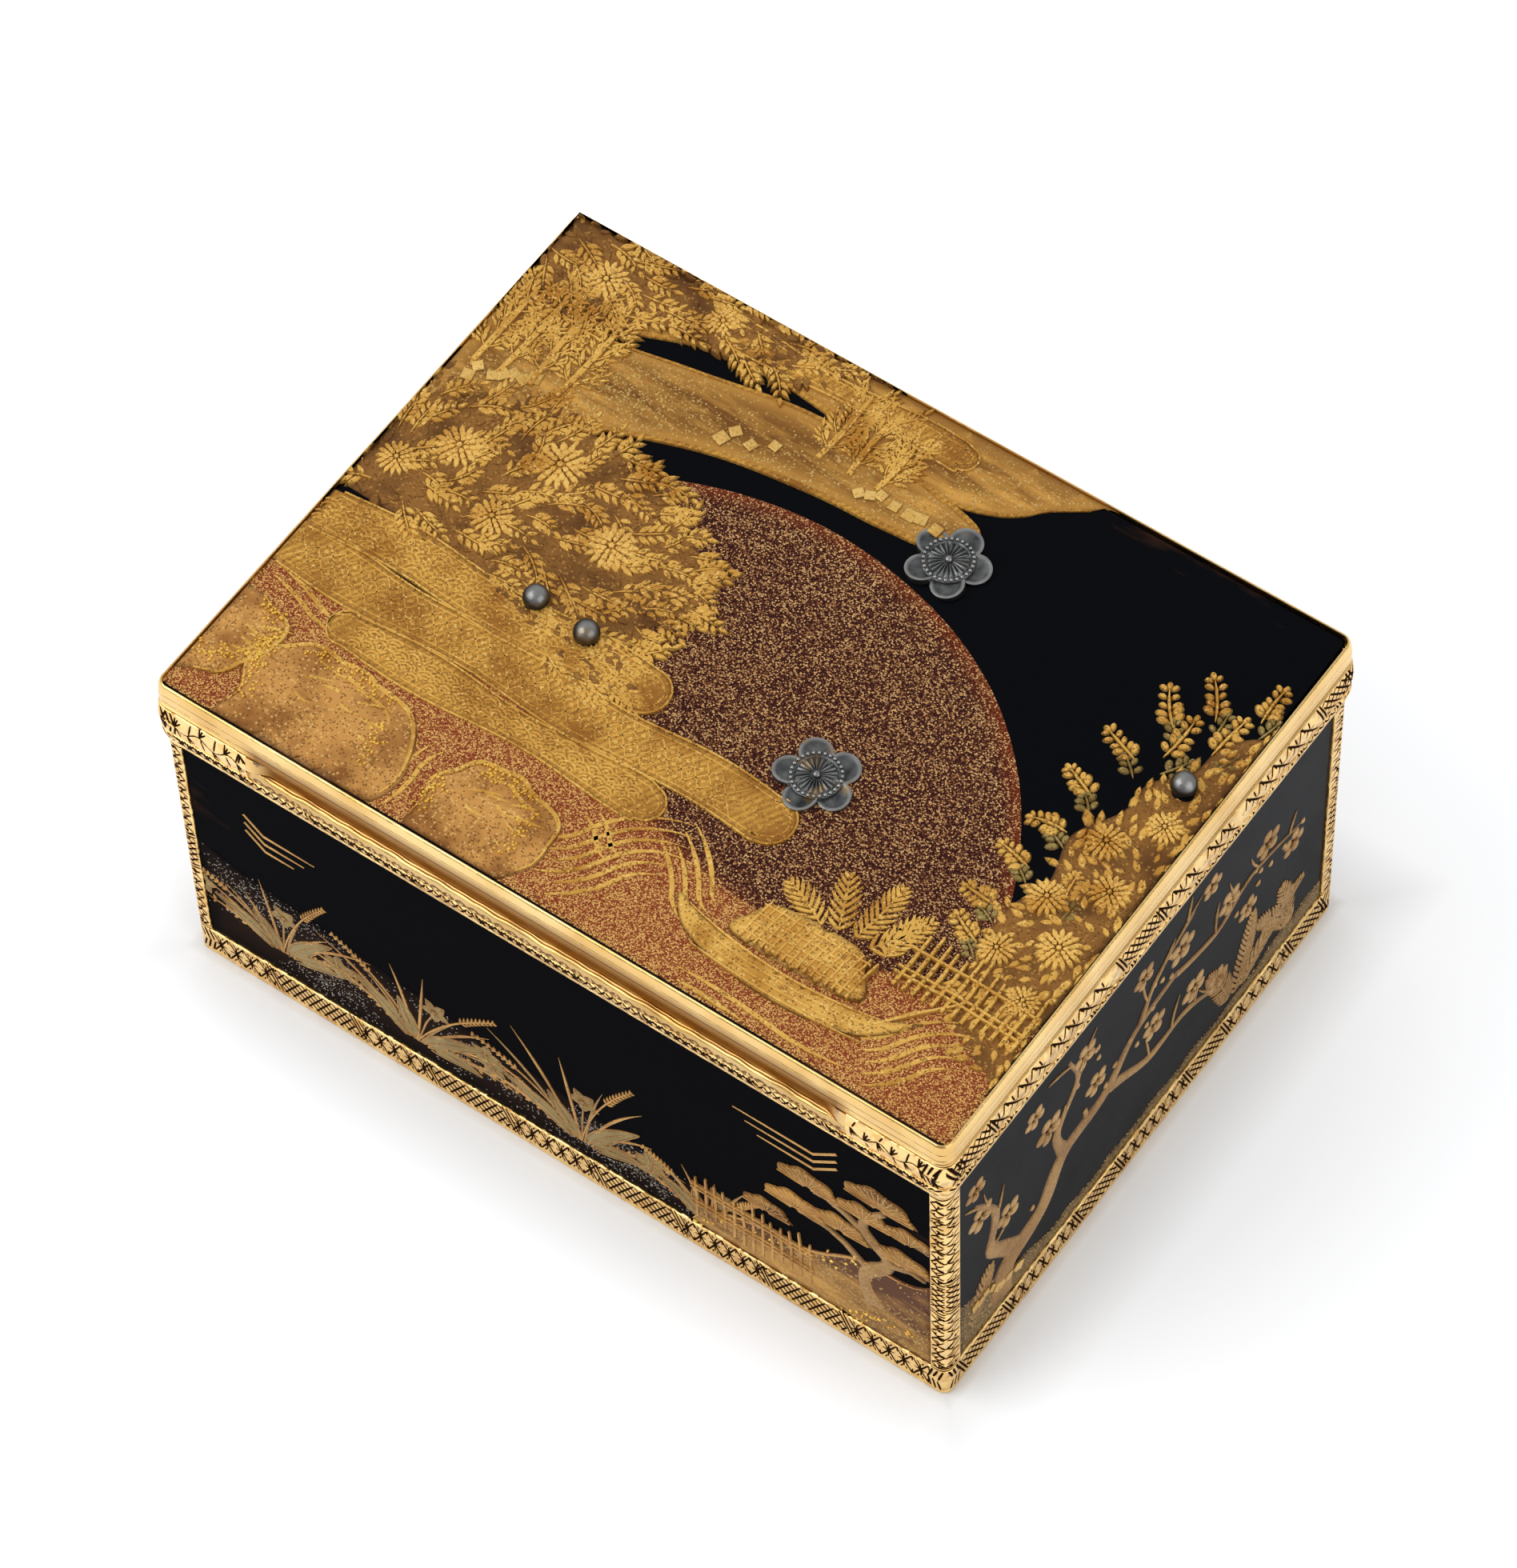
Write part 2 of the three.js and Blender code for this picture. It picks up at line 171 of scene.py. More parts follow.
def buildScratchGroup():  # hair-fine rubbing marks, as a height
    number, vector = "NodeSocketFloat", "NodeSocketVector"
    tree, given, out = newGroup("fineScratches", {
        "Vector": (vector, None), "Scale": (number, 300.0)}, {"Height": number})
    total = None
    for turn in (0.3, 1.5, 2.6):
        turned = drawnOut(tree, given["Vector"], (1.0, 14.0, 14.0), (turn, turn * 0.7, turn))
        sharp = remap(tree, noise(tree, turned, given["Scale"], 1.0), 0.6, 0.66)
        total = sharp if total is None else mathNode(tree, "ADD", total, sharp)
    tree.links.new(total, out["Height"])
    return tree


sprinkleGroup = buildSprinkleGroup()
wearGroup = buildWearGroup()
scratchGroup = buildScratchGroup()


def groupNode(tree, group, inputs):
    return addNode(tree, "ShaderNodeGroup", inputs, node_tree=group).outputs


def sprinkle(tree, where, perMetre, density, drift, driftScale=120.0):
    return groupNode(tree, sprinkleGroup, {"Vector": where, "Flakes per metre": perMetre, "Density": density,
                                           "Drift": drift, "Drift scale": driftScale})


def scratches(tree, where, scale):
    return groupNode(tree, scratchGroup, {"Vector": where, "Scale": scale})["Height"]


def newMaterial(name, **plain):
    material = bpy.data.materials.new(name)
    material.use_nodes = True
    tree = material.node_tree
    shader = tree.nodes["Principled BSDF"]
    for key, value in plain.items():
        shader.inputs[{"metallic": "Metallic", "roughness": "Roughness", "specular": "Specular IOR Level",
                "ior": "IOR",
                "coat": "Coat Weight", "coatRoughness": "Coat Roughness"}[key]].default_value = value
    coords = tree.nodes.new("ShaderNodeTexCoord").outputs["Object"]
    return material, tree, shader, coords


def feed(shader, **values):
    for key, value in values.items():
        socket = {"color": "Base Color", "roughness": "Roughness", "metallic": "Metallic",
                "normal": "Normal"}[key]
        shader.id_data.links.new(value, shader.inputs[socket])


def bump(tree, shader, height, strength, distance):
    made = addNode(tree, "ShaderNodeBump", {"Height": height, "Strength": strength, "Distance": distance})
    feed(shader, normal=made.outputs[0])


def attribute(tree, name):
    return addNode(tree, "ShaderNodeAttribute", attribute_name=name).outputs["Fac"]


# Finishes
# grooveShade is painted shade round each cut; cut is the colour in the grooves, partly dirt and partly painted shade
engravedLook = {"gold": tone(252, 214, 142), "deep": tone(216, 164, 88), "grooveShade": tone(172, 116, 50),
        "cut": tone(32, 19, 8)}


def buildEngravedGold():
    material, tree, shader, coords = newMaterial("engravedGold", ior=1.05)
    # a lighter or darker gold for each graver facet and cloudy patch: painted reflection that differs facet by facet
    facets = addNode(tree, "ShaderNodeTexVoronoi", {"Vector": coords, "Scale": 1900.0})
    red = splitColor(tree, facets.outputs["Color"])[0]
    cloud = noise(tree, coords, 420.0, 4.0)
    share = mathNode(tree, "ADD", times(tree, red, 0.5), remap(tree, cloud, 0.35, 0.7, 0, 0.5))
    gold = mixColor(tree, remap(tree, share, 0.35, 0.95), engravedLook["gold"], engravedLook["deep"])
    cut = attribute(tree, "cut")
    # painted shade: a brown ring round each cut
    grooveShade = mixColor(tree, remap(tree, cut, 0.08, 0.3), gold, engravedLook["grooveShade"])
    # dark brown in the cuts: partly dirt, partly painted shade in the grooves
    dark = remap(tree, cut, 0.24, 0.5)
    feed(shader, color=mixColor(tree, dark, grooveShade, engravedLook["cut"]))
    feed(shader, roughness=remap(tree, dark, 0, 1, 0.28, 0.6))
    feed(shader, metallic=remap(tree, dark, 0, 1, 1.0, 0.0))
    # each facet left by the graver leans its own way
    lean = addNode(tree, "ShaderNodeVectorMath", {0: facets.outputs["Color"], 1: (0.5, 0.5, 0.5)},
        operation="SUBTRACT")
    small = addNode(tree, "ShaderNodeVectorMath", {0: lean.outputs[0], "Scale": 0.3}, operation="SCALE")
    normal = addNode(tree, "ShaderNodeVectorMath", {
        0: tree.nodes.new("ShaderNodeNewGeometry").outputs["Normal"], 1: small.outputs[0]}, operation="ADD")
    unit = addNode(tree, "ShaderNodeVectorMath", {0: normal.outputs[0]}, operation="NORMALIZE")
    feed(shader, normal=unit.outputs[0])
    return material


polishedLook = {"gold": tone(243, 207, 140), "deep": tone(219, 174, 100), "tarnishAndDarkReflection": tone(124, 76, 8),
        "line": tone(96, 60, 24)}


def buildPolishedGold():
    material, tree, shader, coords = newMaterial("polishedGold", metallic=1.0)
    cloud = noise(tree, coords, 150.0, 5.0)
    gold = mixColor(tree, remap(tree, cloud, 0.4, 0.7), polishedLook["gold"], polishedLook["deep"])
    # tarnish together with painted dark reflection: darker amber in the thumbpiece's cove, on its lip and low on the
    # bezel
    tarnishAndDarkReflection = attribute(tree, "tarnishAndDarkReflection")
    warm = mixColor(tree, tarnishAndDarkReflection, gold, polishedLook["tarnishAndDarkReflection"])
    # darker along the cut mask: painted shade in the bezel's two grooves, dirt and painted shade in the thumbpiece's
    # graver marks
    lined = mixColor(tree, remap(tree, attribute(tree, "cut"), 0.1, 0.7), warm, polishedLook["line"])
    feed(shader, color=lined)
    feed(shader, roughness=remap(tree, tarnishAndDarkReflection, 0, 1, 0.2, 0.34))
    marks = scratches(tree, coords, 350.0)
    bump(tree, shader, marks, 0.12, 0.00005)
    return material


def buildLiningGold():
    material, tree, shader, coords = newMaterial("liningGold", metallic=1.0, roughness=0.24)
    cloud = noise(tree, coords, 60.0, 6.0)
    gold = mixColor(tree, remap(tree, cloud, 0.4, 0.75), tone(238, 204, 140), tone(214, 170, 100))
    feed(shader, color=gold)
    marks = scratches(tree, coords, 220.0)
    feed(shader, roughness=remap(tree, marks, 0, 1, 0.22, 0.36))
    bump(tree, shader, marks, 0.15, 0.00006)
    return material


lacquerLook = {"black": tone(7, 8, 12), "rub": tone(56, 34, 22), "foot": tone(46, 32, 25)}


def buildBlackLacquer(name, black, ior, footDust=False):
    material, tree, shader, coords = newMaterial(name, ior=ior)
    drawn = drawnOut(tree, coords, (0.35, 1.4, 0.8))
    parts = addNode(tree, "ShaderNodeSeparateXYZ", {0: coords}).outputs
    edges = [remap(tree, mathNode(tree, "ABSOLUTE", parts[k]), reach * 0.72 * mm, reach * mm) for k,
        reach in enumerate((40, 30))]
    rubbed = remap(tree, times(tree, *edges) if name != "blackLacquer" else edges[1], 0, 1, 0.16, 0.62)
    worn = groupNode(tree, wearGroup, {"Vector": drawn, "Scale": 110.0, "Amount": rubbed})
    shown = mixColor(tree, times(tree, worn["Mask"], 0.8), black, lacquerLook["rub"])
    if footDust:  # brown ground and pale dust that thin out towards the edge of the plate
        inner = mathNode(tree, "SUBTRACT", 1.0, attribute(tree, "dense"))
        shown = mixColor(tree, times(tree, inner, 0.9), shown, lacquerLook["foot"])
        drift = noise(tree, coords, 95.0, 3.0)
        dust = groupNode(tree, sprinkleGroup, {
            "Vector": coords, "Flakes per metre": 6400.0, "Drift": 0.0, "Density": mathNode(
                tree, "MULTIPLY", inner, remap(tree, drift, 0.42, 0.68, 0.0, 0.5))})
        flake = mixColor(tree, dust["Glint"], tone(110, 92, 74), tone(205, 200, 190))
        shown = mixColor(tree, dust["Mask"], shown, flake)
    feed(shader, color=shown)
    cloud = noise(tree, coords, 160.0, 3.0)
    feed(shader, roughness=remap(tree, cloud, 0.3, 0.8, 0.12, 0.3))
    marks = scratches(tree, coords, 160.0)
    bump(tree, shader, marks, 0.05, 0.00005)
    return material


def buildSprinkled(name, ground, edgeGround, flakeDark, flakeLight, perMetre, density, drift=0.05, gloss=0.2):
    material, tree, shader, coords = newMaterial(name, roughness=gloss, specular=0.05)
    rim = attribute(tree, "rim")
    base = mixColor(tree, rim, ground, edgeGround)
    coarse = sprinkle(tree, coords, perMetre, density, drift)
    fine = sprinkle(tree, coords, perMetre * 1.9, density * 0.6, drift)
    flake = mixColor(tree, coarse["Glint"], flakeDark, flakeLight)
    first = mixColor(tree, times(tree, fine["Mask"], 0.75), base, flakeDark)
    feed(shader, color=mixColor(tree, coarse["Mask"], first, flake))
    feed(shader, metallic=times(tree, coarse["Mask"], 0.3))
    return material


def buildReliefGold(name, gold, shade, bright, rough=0.5, metal=0.35, stripes=0.0, specks=1.0):
    material, tree, shader, coords = newMaterial(name, metallic=metal, roughness=rough, specular=0.2)
    cloud = noise(tree, coords, 260.0, 5.0)
    patch = mixColor(tree, remap(tree, cloud, 0.42, 0.68), gold, shade)
    if stripes:
        turned = drawnOut(tree, coords, (1, 1, 1), (0, 0, 0.49))
        bands = addNode(tree, "ShaderNodeTexWave", {
            "Vector": turned, "Scale": 520.0, "Distortion": 1.6, "Detail": 1.0})
        patch = mixColor(tree, times(tree, bands.outputs[0], stripes), patch, shade)
    darkSpecks = sprinkle(tree, coords, 5200.0, 0.26, 0.1, 300.0)
    lightSpecks = sprinkle(tree, coords, 4300.0, 0.15, 0.06, 350.0)
    specked = mixColor(tree, times(tree, darkSpecks["Mask"], 0.7 * specks), patch, tone(100, 62, 22))
    lit = mixColor(tree, times(tree, lightSpecks["Mask"], 0.6 * specks), specked, bright)
    # darker brown at the rim: painted shade where the raised work meets the ground
    low = times(tree, attribute(tree, "rim"), 0.85)
    feed(shader, color=mixColor(tree, low, lit, tone(78, 48, 20)))
    grain = noise(tree, coords, 3200.0, 2.0)
    bump(tree, shader, grain, 0.3, 0.0001)
    return material


def buildHillPowder():  # brown lacquer with smoky drifts of gold, and grey-gold powder on them
    material, tree, shader, coords = newMaterial("hillPowder", metallic=0.1, roughness=0.45, specular=0.1)
    drawn = drawnOut(tree, coords, (0.3, 1.5, 1.0), (0, 0, 0.35))
    streak = noise(tree, drawn, 170.0, 6.0, 0.65)
    smoke = remap(tree, streak, 0.42, 0.62)
    rim = mathNode(tree, "MAXIMUM", smoke, attribute(tree, "dense"))
    base = mixColor(tree, rim, tone(90, 48, 18), tone(206, 152, 72))
    powder = sprinkle(tree, coords, 5600.0, 0.3, 0.35, 90.0)
    flake = mixColor(tree, powder["Glint"], tone(148, 110, 48), tone(214, 182, 112))
    shown = mixColor(tree, times(tree, powder["Mask"], 0.85), base, flake)
    # darker brown at the rim: painted shade along the raised edge of each hill
    low = times(tree, attribute(tree, "rim"), 0.7)
    feed(shader, color=mixColor(tree, low, shown, tone(84, 44, 18)))
    grain = noise(tree, coords, 3000.0, 2.0)
    bump(tree, shader, grain, 0.2, 0.0001)
    return material


silverLook = {"silver": tone(160, 160, 158), "tarnish": tone(56, 58, 61), "gilt": tone(150, 118, 62)}


def buildSilver():
    material, tree, shader, coords = newMaterial("tarnishedSilver", metallic=1.0, roughness=0.34)
    cloud = noise(tree, coords, 900.0, 5.0)
    polish = remap(tree, attribute(tree, "polish"), 0.0, 1.0)
    share = mathNode(tree, "ADD", polish, times(tree, mathNode(
        tree, "SUBTRACT", cloud, 0.5), 0.9))
    share = remap(tree, share, 0.0, 1.0)
    color = mixColor(tree, share, silverLook["tarnish"], silverLook["silver"])
    warm = noise(tree, coords, 520.0, 2.0)
    gilt = times(tree, remap(tree, warm, 0.58, 0.68), 0.4)
    feed(shader, color=mixColor(tree, gilt, color, silverLook["gilt"]))
    feed(shader, roughness=remap(tree, share, 0, 1, 0.5, 0.26))
    grain = noise(tree, coords, 2600.0, 3.0)
    bump(tree, shader, grain, 0.3, 0.0001)
    return material


def buildSteel():
    material, tree, shader, coords = newMaterial("pinSteel", metallic=1.0)
    drawn = drawnOut(tree, coords, (1.0, 30.0, 30.0))
    lines = noise(tree, drawn, 200.0)
    feed(shader, color=mixColor(tree, lines, tone(150, 150, 150), tone(205, 205, 205)))
    feed(shader, roughness=remap(tree, lines, 0, 1, 0.25, 0.45))
    return material


finishes = {
    "engravedGold": buildEngravedGold(),
    "polishedGold": buildPolishedGold(),
    "liningGold": buildLiningGold(),
    "black": buildBlackLacquer("blackLacquer", lacquerLook["black"], 1.1),
    "frontBlack": buildBlackLacquer("deepBlackLacquer", tone(8, 8, 11), 1.025),
    "sideBlack": buildBlackLacquer("greyBlackLacquer", tone(13, 14, 18), 1.06),
    "foot": buildBlackLacquer("dustedLacquer", tone(8, 8, 11), 1.025, True),
    "silver": buildSilver(),
    "steel": buildSteel(),
    "nashiji": buildSprinkled("pearSkinLacquer", tone(50, 20, 20), tone(104, 38, 16),
        tone(136, 84, 50), tone(226, 182, 122), 6600.0, 0.48, 0.08),
    "terracotta": buildSprinkled("redGoldLacquer", tone(126, 54, 34), tone(92, 42, 26),
        tone(196, 140, 74), tone(232, 188, 112), 7000.0, 0.64, 0.14, 0.3),
    "oliveDust": buildSprinkled("oliveDustLacquer", tone(98, 72, 40), tone(58, 34, 22),
        tone(140, 112, 62), tone(192, 166, 104), 6400.0, 0.5, 0.2, 0.4),
    "hill": buildHillPowder(),
    "rock": buildReliefGold("rockGold", tone(204, 148, 78), tone(140, 88, 38), tone(232, 188, 112), 0.45, 0.3),
    "mist": buildReliefGold("mistGold", tone(206, 154, 66), tone(150, 98, 36), tone(228, 182, 96), 0.48, 0.35,
        0.6, 0.7),
    "bright": buildReliefGold("brightGold", tone(236, 190, 100), tone(196, 140, 56), tone(250, 216, 138), 0.4,
        0.4, 0, 0.7),
    "foil": buildReliefGold("leafGold", tone(232, 190, 108), tone(196, 150, 70), tone(248, 214, 140), 0.4, 0.45,
        0, 0.5),
    "nugget": buildReliefGold("nuggetGold", tone(250, 208, 96), tone(228, 168, 44), tone(255, 230, 150), 0.3,
        0.6, 0, 0.2),
    "relief": buildReliefGold("raisedGold", tone(222, 174, 84), tone(178, 122, 44), tone(246, 208, 126)),
    "olive": buildReliefGold("oliveGold", tone(154, 134, 78), tone(120, 94, 42), tone(188, 170, 112)),
    "brown": buildReliefGold("brownGold", tone(146, 100, 46), tone(98, 62, 26), tone(186, 138, 70)),
    "khaki": buildReliefGold("khakiGold", tone(158, 138, 88), tone(138, 112, 62), tone(186, 166, 116), 0.5, 0.2,
        0, 0.3),
    "tan": buildReliefGold("tanGold", tone(176, 136, 80), tone(146, 104, 52), tone(208, 170, 112), 0.5, 0.3, 0,
        0.7),
    "paleTan": buildReliefGold("paleTanGold", tone(200, 160, 102), tone(168, 124, 70), tone(224, 190, 134), 0.5,
        0.3, 0, 0.4),
    "sideGold": buildReliefGold("sideGold", tone(206, 156, 86), tone(166, 116, 54), tone(230, 188, 120), 0.45,
        0.35, 0, 0.5),
}
print("finishes ready")


# Studio
studio = {"floorSize": 3.0, "floorTone": 0.8, "floorGlow": 0.4, "softBoxSize": 0.8, "keyPower": 4.6,
        "fillPower": 2.2, "skyBright": 0.82, "skyDim": 0.42, "brightFrom": (-0.45, 0.55, 0.75)}


def addSoftBox(name, place, power, size):
    bpy.ops.object.light_add(type="AREA", location=place)
    lamp = bpy.context.active_object
    lamp.name = name
    lamp.data.energy, lamp.data.size = power, size
    lamp.rotation_euler = (Vector((0, 0, 0.02)) - Vector(place)).to_track_quat("-Z", "Y").to_euler()


def addStudio():
    bpy.ops.mesh.primitive_plane_add(size=studio["floorSize"])
    floor = bpy.context.active_object
    floor.name = "floor"
    material, tree, shader, coords = newMaterial("paleFloor", roughness=0.9, specular=0.0)
    shader.inputs["Base Color"].default_value = [studio["floorTone"] * share for share in (0.97, 0.99,
        1.02)] + [1]
    rays = tree.nodes.new("ShaderNodeLightPath").outputs
    seen = mathNode(tree, "MAXIMUM", rays["Is Camera Ray"], rays["Is Glossy Ray"])
    shader.inputs["Emission Color"].default_value = (1, 1, 1, 1)
    # the floor's glow fades out at the box's footprint: a painted contact shadow on the floor
    parts = addNode(tree, "ShaderNodeSeparateXYZ", {0: coords}).outputs
    gaps = [mathNode(tree, "SUBTRACT", mathNode(tree, "ABSOLUTE", parts[k]), size * mm) for k,
        size in enumerate((40, 30))]
    gap = mathNode(tree, "MAXIMUM", *gaps)
    glowWithPaintedShadow = mathNode(tree, "ADD", remap(tree, gap, 0.0, 0.001, 0.0, 0.45), remap(tree, gap, 0.001, 0.008, 0.0,
        0.55))
    glowWithPaintedShadow = times(tree, glowWithPaintedShadow, studio["floorGlow"])
    tree.links.new(times(tree, seen, glowWithPaintedShadow), shader.inputs["Emission Strength"])
    floor.data.materials.append(material)
    addSoftBox("softBoxFrontLeft", (-0.5, -0.5, 0.62), studio["keyPower"], studio["softBoxSize"])
    addSoftBox("softBoxRight", (0.75, -0.1, 0.4), studio["fillPower"], studio["softBoxSize"])
    world = bpy.data.worlds.new("studio")
    bpy.context.scene.world = world
    world.use_nodes = True
    tree = world.node_tree
    background = tree.nodes["Background"]
    direction = tree.nodes.new("ShaderNodeTexCoord").outputs["Generated"]
    key = Vector(studio["brightFrom"]).normalized()
    facing = addNode(tree, "ShaderNodeVectorMath", {0: direction, 1: key}, operation="DOT_PRODUCT")
    light = remap(tree, facing.outputs["Value"], -0.1, 0.95, studio["skyDim"], studio["skyBright"])
    rays = tree.nodes.new("ShaderNodeLightPath").outputs
    seen = mathNode(tree, "MAXIMUM", rays["Is Camera Ray"], rays["Is Transmission Ray"])
    strength = addNode(tree, "ShaderNodeMix", {0: seen, 2: light, 3: 1.0}, data_type="FLOAT")
    tree.links.new(strength.outputs[0], background.inputs["Strength"])
    background.inputs["Color"].default_value = (1, 1, 1, 1)
    bpy.context.scene.view_settings.view_transform = "Standard"


addCamera()
addStudio()
print("camera and studio ready")


# Pieces
def finishPiece(piece, name, body, finish, nodes=(), sharp=40):
    piece.name = name
    piece.data.name = name
    piece.data.materials.clear()
    piece.data.materials.append(finishes[finish])
    bpy.ops.object.select_all(action="DESELECT")
    piece.select_set(True)
    bpy.context.view_layer.objects.active = piece
    if sharp:
        bpy.ops.object.shade_smooth_by_angle(angle=math.radians(sharp))
    else:
        bpy.ops.object.shade_smooth()
    piece.select_set(False)
    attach(piece, body)
    if nodes:
        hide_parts(*nodes)
    return piece


def settle(piece):  # place and turn go into the mesh
    bpy.ops.object.select_all(action="DESELECT")
    piece.select_set(True)
    bpy.context.view_layer.objects.active = piece
    bpy.ops.object.transform_apply(location=True, rotation=True, scale=True)


def newPrimitive(kind, place, stretch=None, turn=(0, 0, 0), **settings):  # sizes and places in mm
    for key in ("radius", "depth", "major_radius", "minor_radius"):
        if key in settings:
            settings[key] *= mm
    getattr(bpy.ops.mesh, f"primitive_{kind}_add")(location=[c * mm for c in place], rotation=turn, **settings)
    piece = bpy.context.active_object
    if stretch is not None:
        piece.scale = [c * mm for c in stretch]
    settle(piece)
    return piece


def spacedPath(points, step):
    points = np.array(points, float)
    run = np.concatenate([[0], np.cumsum(np.hypot(*np.diff(points, axis=0).T))])
    count = max(2, int(round(run[-1] / step)) + 1)
    at = np.linspace(0, run[-1], count)
    return np.column_stack([np.interp(at, run, points[:, k]) for k in (0, 1)]), at


def straightLength(side):  # half of what lies between the rounded corners of a side
    return (halfLength if side in ("front", "back") else halfWidth) - 1


def stations(side, step):
    straight = straightLength(side)
    count = int(math.ceil(straight / step))
    line = np.linspace(-straight, straight, 2 * count + 1)
    turn = np.linspace(0, math.pi / 4, max(3, int(math.ceil(math.pi / 4 / engraving["grain"])) + 1))[1:]
    return np.concatenate([-straight - turn[::-1], line, straight + turn])


def setOnSide(side, along, out, height):
    longSide = side in ("front", "back")
    length, depth = (halfLength, halfWidth) if longSide else (halfWidth, halfLength)
    straight = length - 1
    angle = np.clip(np.abs(along) - straight, 0, math.pi / 4)
    radius, short = np.maximum(1 + out, 0), np.minimum(1 + out, 0)
    reach = np.minimum(np.abs(along), straight) * (straight + short) / straight
    a = np.sign(along) * (reach + radius * np.sin(angle))
    b = depth - 1 + short + radius * np.cos(angle)
    x, y = {"front": (a, -b), "right": (b, a), "back": (-a, b), "left": (-b, -a)}[side]
    return np.stack([x, y, height], -1)


hinge = {"y": 30.7, "z": 35.0, "radius": 0.95, "bore": 0.53, "pin": 0.45, "reach": 30.3, "count": 9,
        "gap": 0.15, "channel": 1.25, "lugDepth": 1.4, "lugNear": 0.5, "lugFar": 1.6}


def clearHinge(points):  # opens the round channel that the knuckles turn in
    x, y, z = points[..., 0], points[..., 1] - hinge["y"], points[..., 2] - hinge["z"]
    gap = np.hypot(y, z)
    inside = (np.abs(x) < hinge["reach"] + 0.3) & (gap < hinge["channel"])
    grow = np.where(inside, hinge["channel"] / np.maximum(gap, 0.05), 1.0)
    points[..., 1] = hinge["y"] + y * grow
    points[..., 2] = hinge["z"] + z * grow
    return points


def wrapSheet(points, attributes):
    # A flat grid is wrapped into the moulding, its seam merged and its ends filled
    rows, columns = points.shape[:2]
    bpy.ops.mesh.primitive_grid_add(x_subdivisions=rows - 1, y_subdivisions=columns - 1, size=1, calc_uvs=False)
    piece = bpy.context.active_object
    mesh = piece.data
    flat = np.empty(len(mesh.vertices) * 3, np.float32)
    mesh.vertices.foreach_get("co", flat)
    flat = flat.reshape(-1, 3)
    i = np.rint((flat[:, 0] + 0.5) * (rows - 1)).astype(int)
    j = np.rint((flat[:, 1] + 0.5) * (columns - 1)).astype(int)
    mesh.vertices.foreach_set("co", (points[i, j] * mm).astype(np.float32).ravel())
    for key, values in attributes.items():
        made = mesh.attributes.new(key, "FLOAT", "POINT")
        made.data.foreach_set("value", values[i, j].astype(np.float32))
    bpy.ops.object.mode_set(mode="EDIT")
    bpy.ops.mesh.select_all(action="SELECT")
    bpy.ops.mesh.remove_doubles(threshold=2e-7)
    bpy.ops.mesh.select_all(action="DESELECT")
    bpy.ops.mesh.select_non_manifold(extend=False)
    bpy.ops.mesh.fill_holes(sides=0)
    bpy.ops.mesh.select_all(action="SELECT")
    bpy.ops.mesh.normals_make_consistent(inside=False)
    bpy.ops.mesh.select_all(action="DESELECT")
    bpy.ops.object.mode_set(mode="OBJECT")
    return piece


# Engraving: strokes are (along, height, along, height, width), cut as V grooves
engraving = {"grain": 0.085, "depth": 0.11, "latticePitch": 0.86}


def jitter(size=0.07):
    return random.uniform(-size, size)


def starStrokes(s0, s1, low, high):  # crossed cuts, with ticks between them
    strokes = []
    mid, tall = (low + high) / 2, high - low
    count = max(1, round((s1 - s0) / (0.35 + 0.4 * tall)))
    pitch = (s1 - s0) / count
    for k in range(count):
        c = s0 + (k + 0.5) * pitch + jitter(0.05)
        for way in (-1, 1):
            strokes += [
                (c - way * pitch * 0.46, low + tall * 0.06, c + way * pitch * 0.46, high - tall * 0.06, 0.125),
                (c, mid + jitter(0.04), c + way * pitch * 0.34, mid + jitter(0.1), 0.125),
                (c + jitter(0.04), mid, c + jitter(0.06), mid + way * tall * 0.3, 0.11),
                (c + pitch / 2 + jitter(0.04), mid + way * tall * 0.46, c + pitch / 2 + jitter(0.1),
                 mid + way * tall * 0.26, 0.1),
                (c + way * pitch * 0.18, mid + tall * 0.42, c + way * pitch * 0.1, mid + tall * 0.3, 0.09),
                (c + way * pitch * 0.18, mid - tall * 0.42, c + way * pitch * 0.1, mid - tall * 0.3, 0.09),
            ]
    return strokes


def hatchStrokes(s0, s1, low, high):  # a leaning lattice of crossed lines between double bars
    lean, tall = 0.42 * (high - low), high - low
    strokes = [(at - lean / 2, high, at + lean / 2, low, 0.13) for at in (s0, s0 - 0.42, s1, s1 + 0.42)]
    inner0, inner1 = s0 + 0.25, s1 - 0.25
    for slope in (-2.3 * lean, 1.5 * lean):
        for s in np.arange(inner0 - abs(slope), inner1 + abs(slope), engraving["latticePitch"]):
            # each line is cut off where it meets the leaning ends
            ends = sorted(((side - s) / (slope + lean + 1e-6) + 0.5) for side in (inner0, inner1))
            f0, f1 = max(0.05, ends[0]), min(0.95, ends[1])
            if f1 - f0 > 0.08:
                strokes.append((s + slope * (f0 - 0.5), low + tall * f0, s + slope * (f1 - 0.5), low + tall * f1,
                    0.135))
    return strokes


def combStrokes(s0, s1, low, high, pitch=2.0):  # long leaning cuts with small barbed ones between them
    strokes, tall = [], high - low
    marks = ((0, 0.03, 2.8, 0.98, 0.15), (0, 0.04, -0.28, 0.42, 0.12), (0.12, 0.04, 0.5, 0.3, 0.11),
        (0.95, 0.34, 0.78, 0.66, 0.12), (1.05, 0.1, 1.25, 0.36, 0.11), (1.75, 0.6, 1.62, 0.9, 0.12),
        (1.3, 0.44, 1.75, 0.4, 0.1), (2.15, 0.74, 2.6, 0.7, 0.1))
    for s in np.arange(s0 - 0.5, s1 - 2.2, pitch):
        for a, f, b, g, wide in marks:
            strokes.append((s + a + jitter(0.06), high - tall * f, s + b + jitter(0.06), high - tall * g, wide))
    return strokes


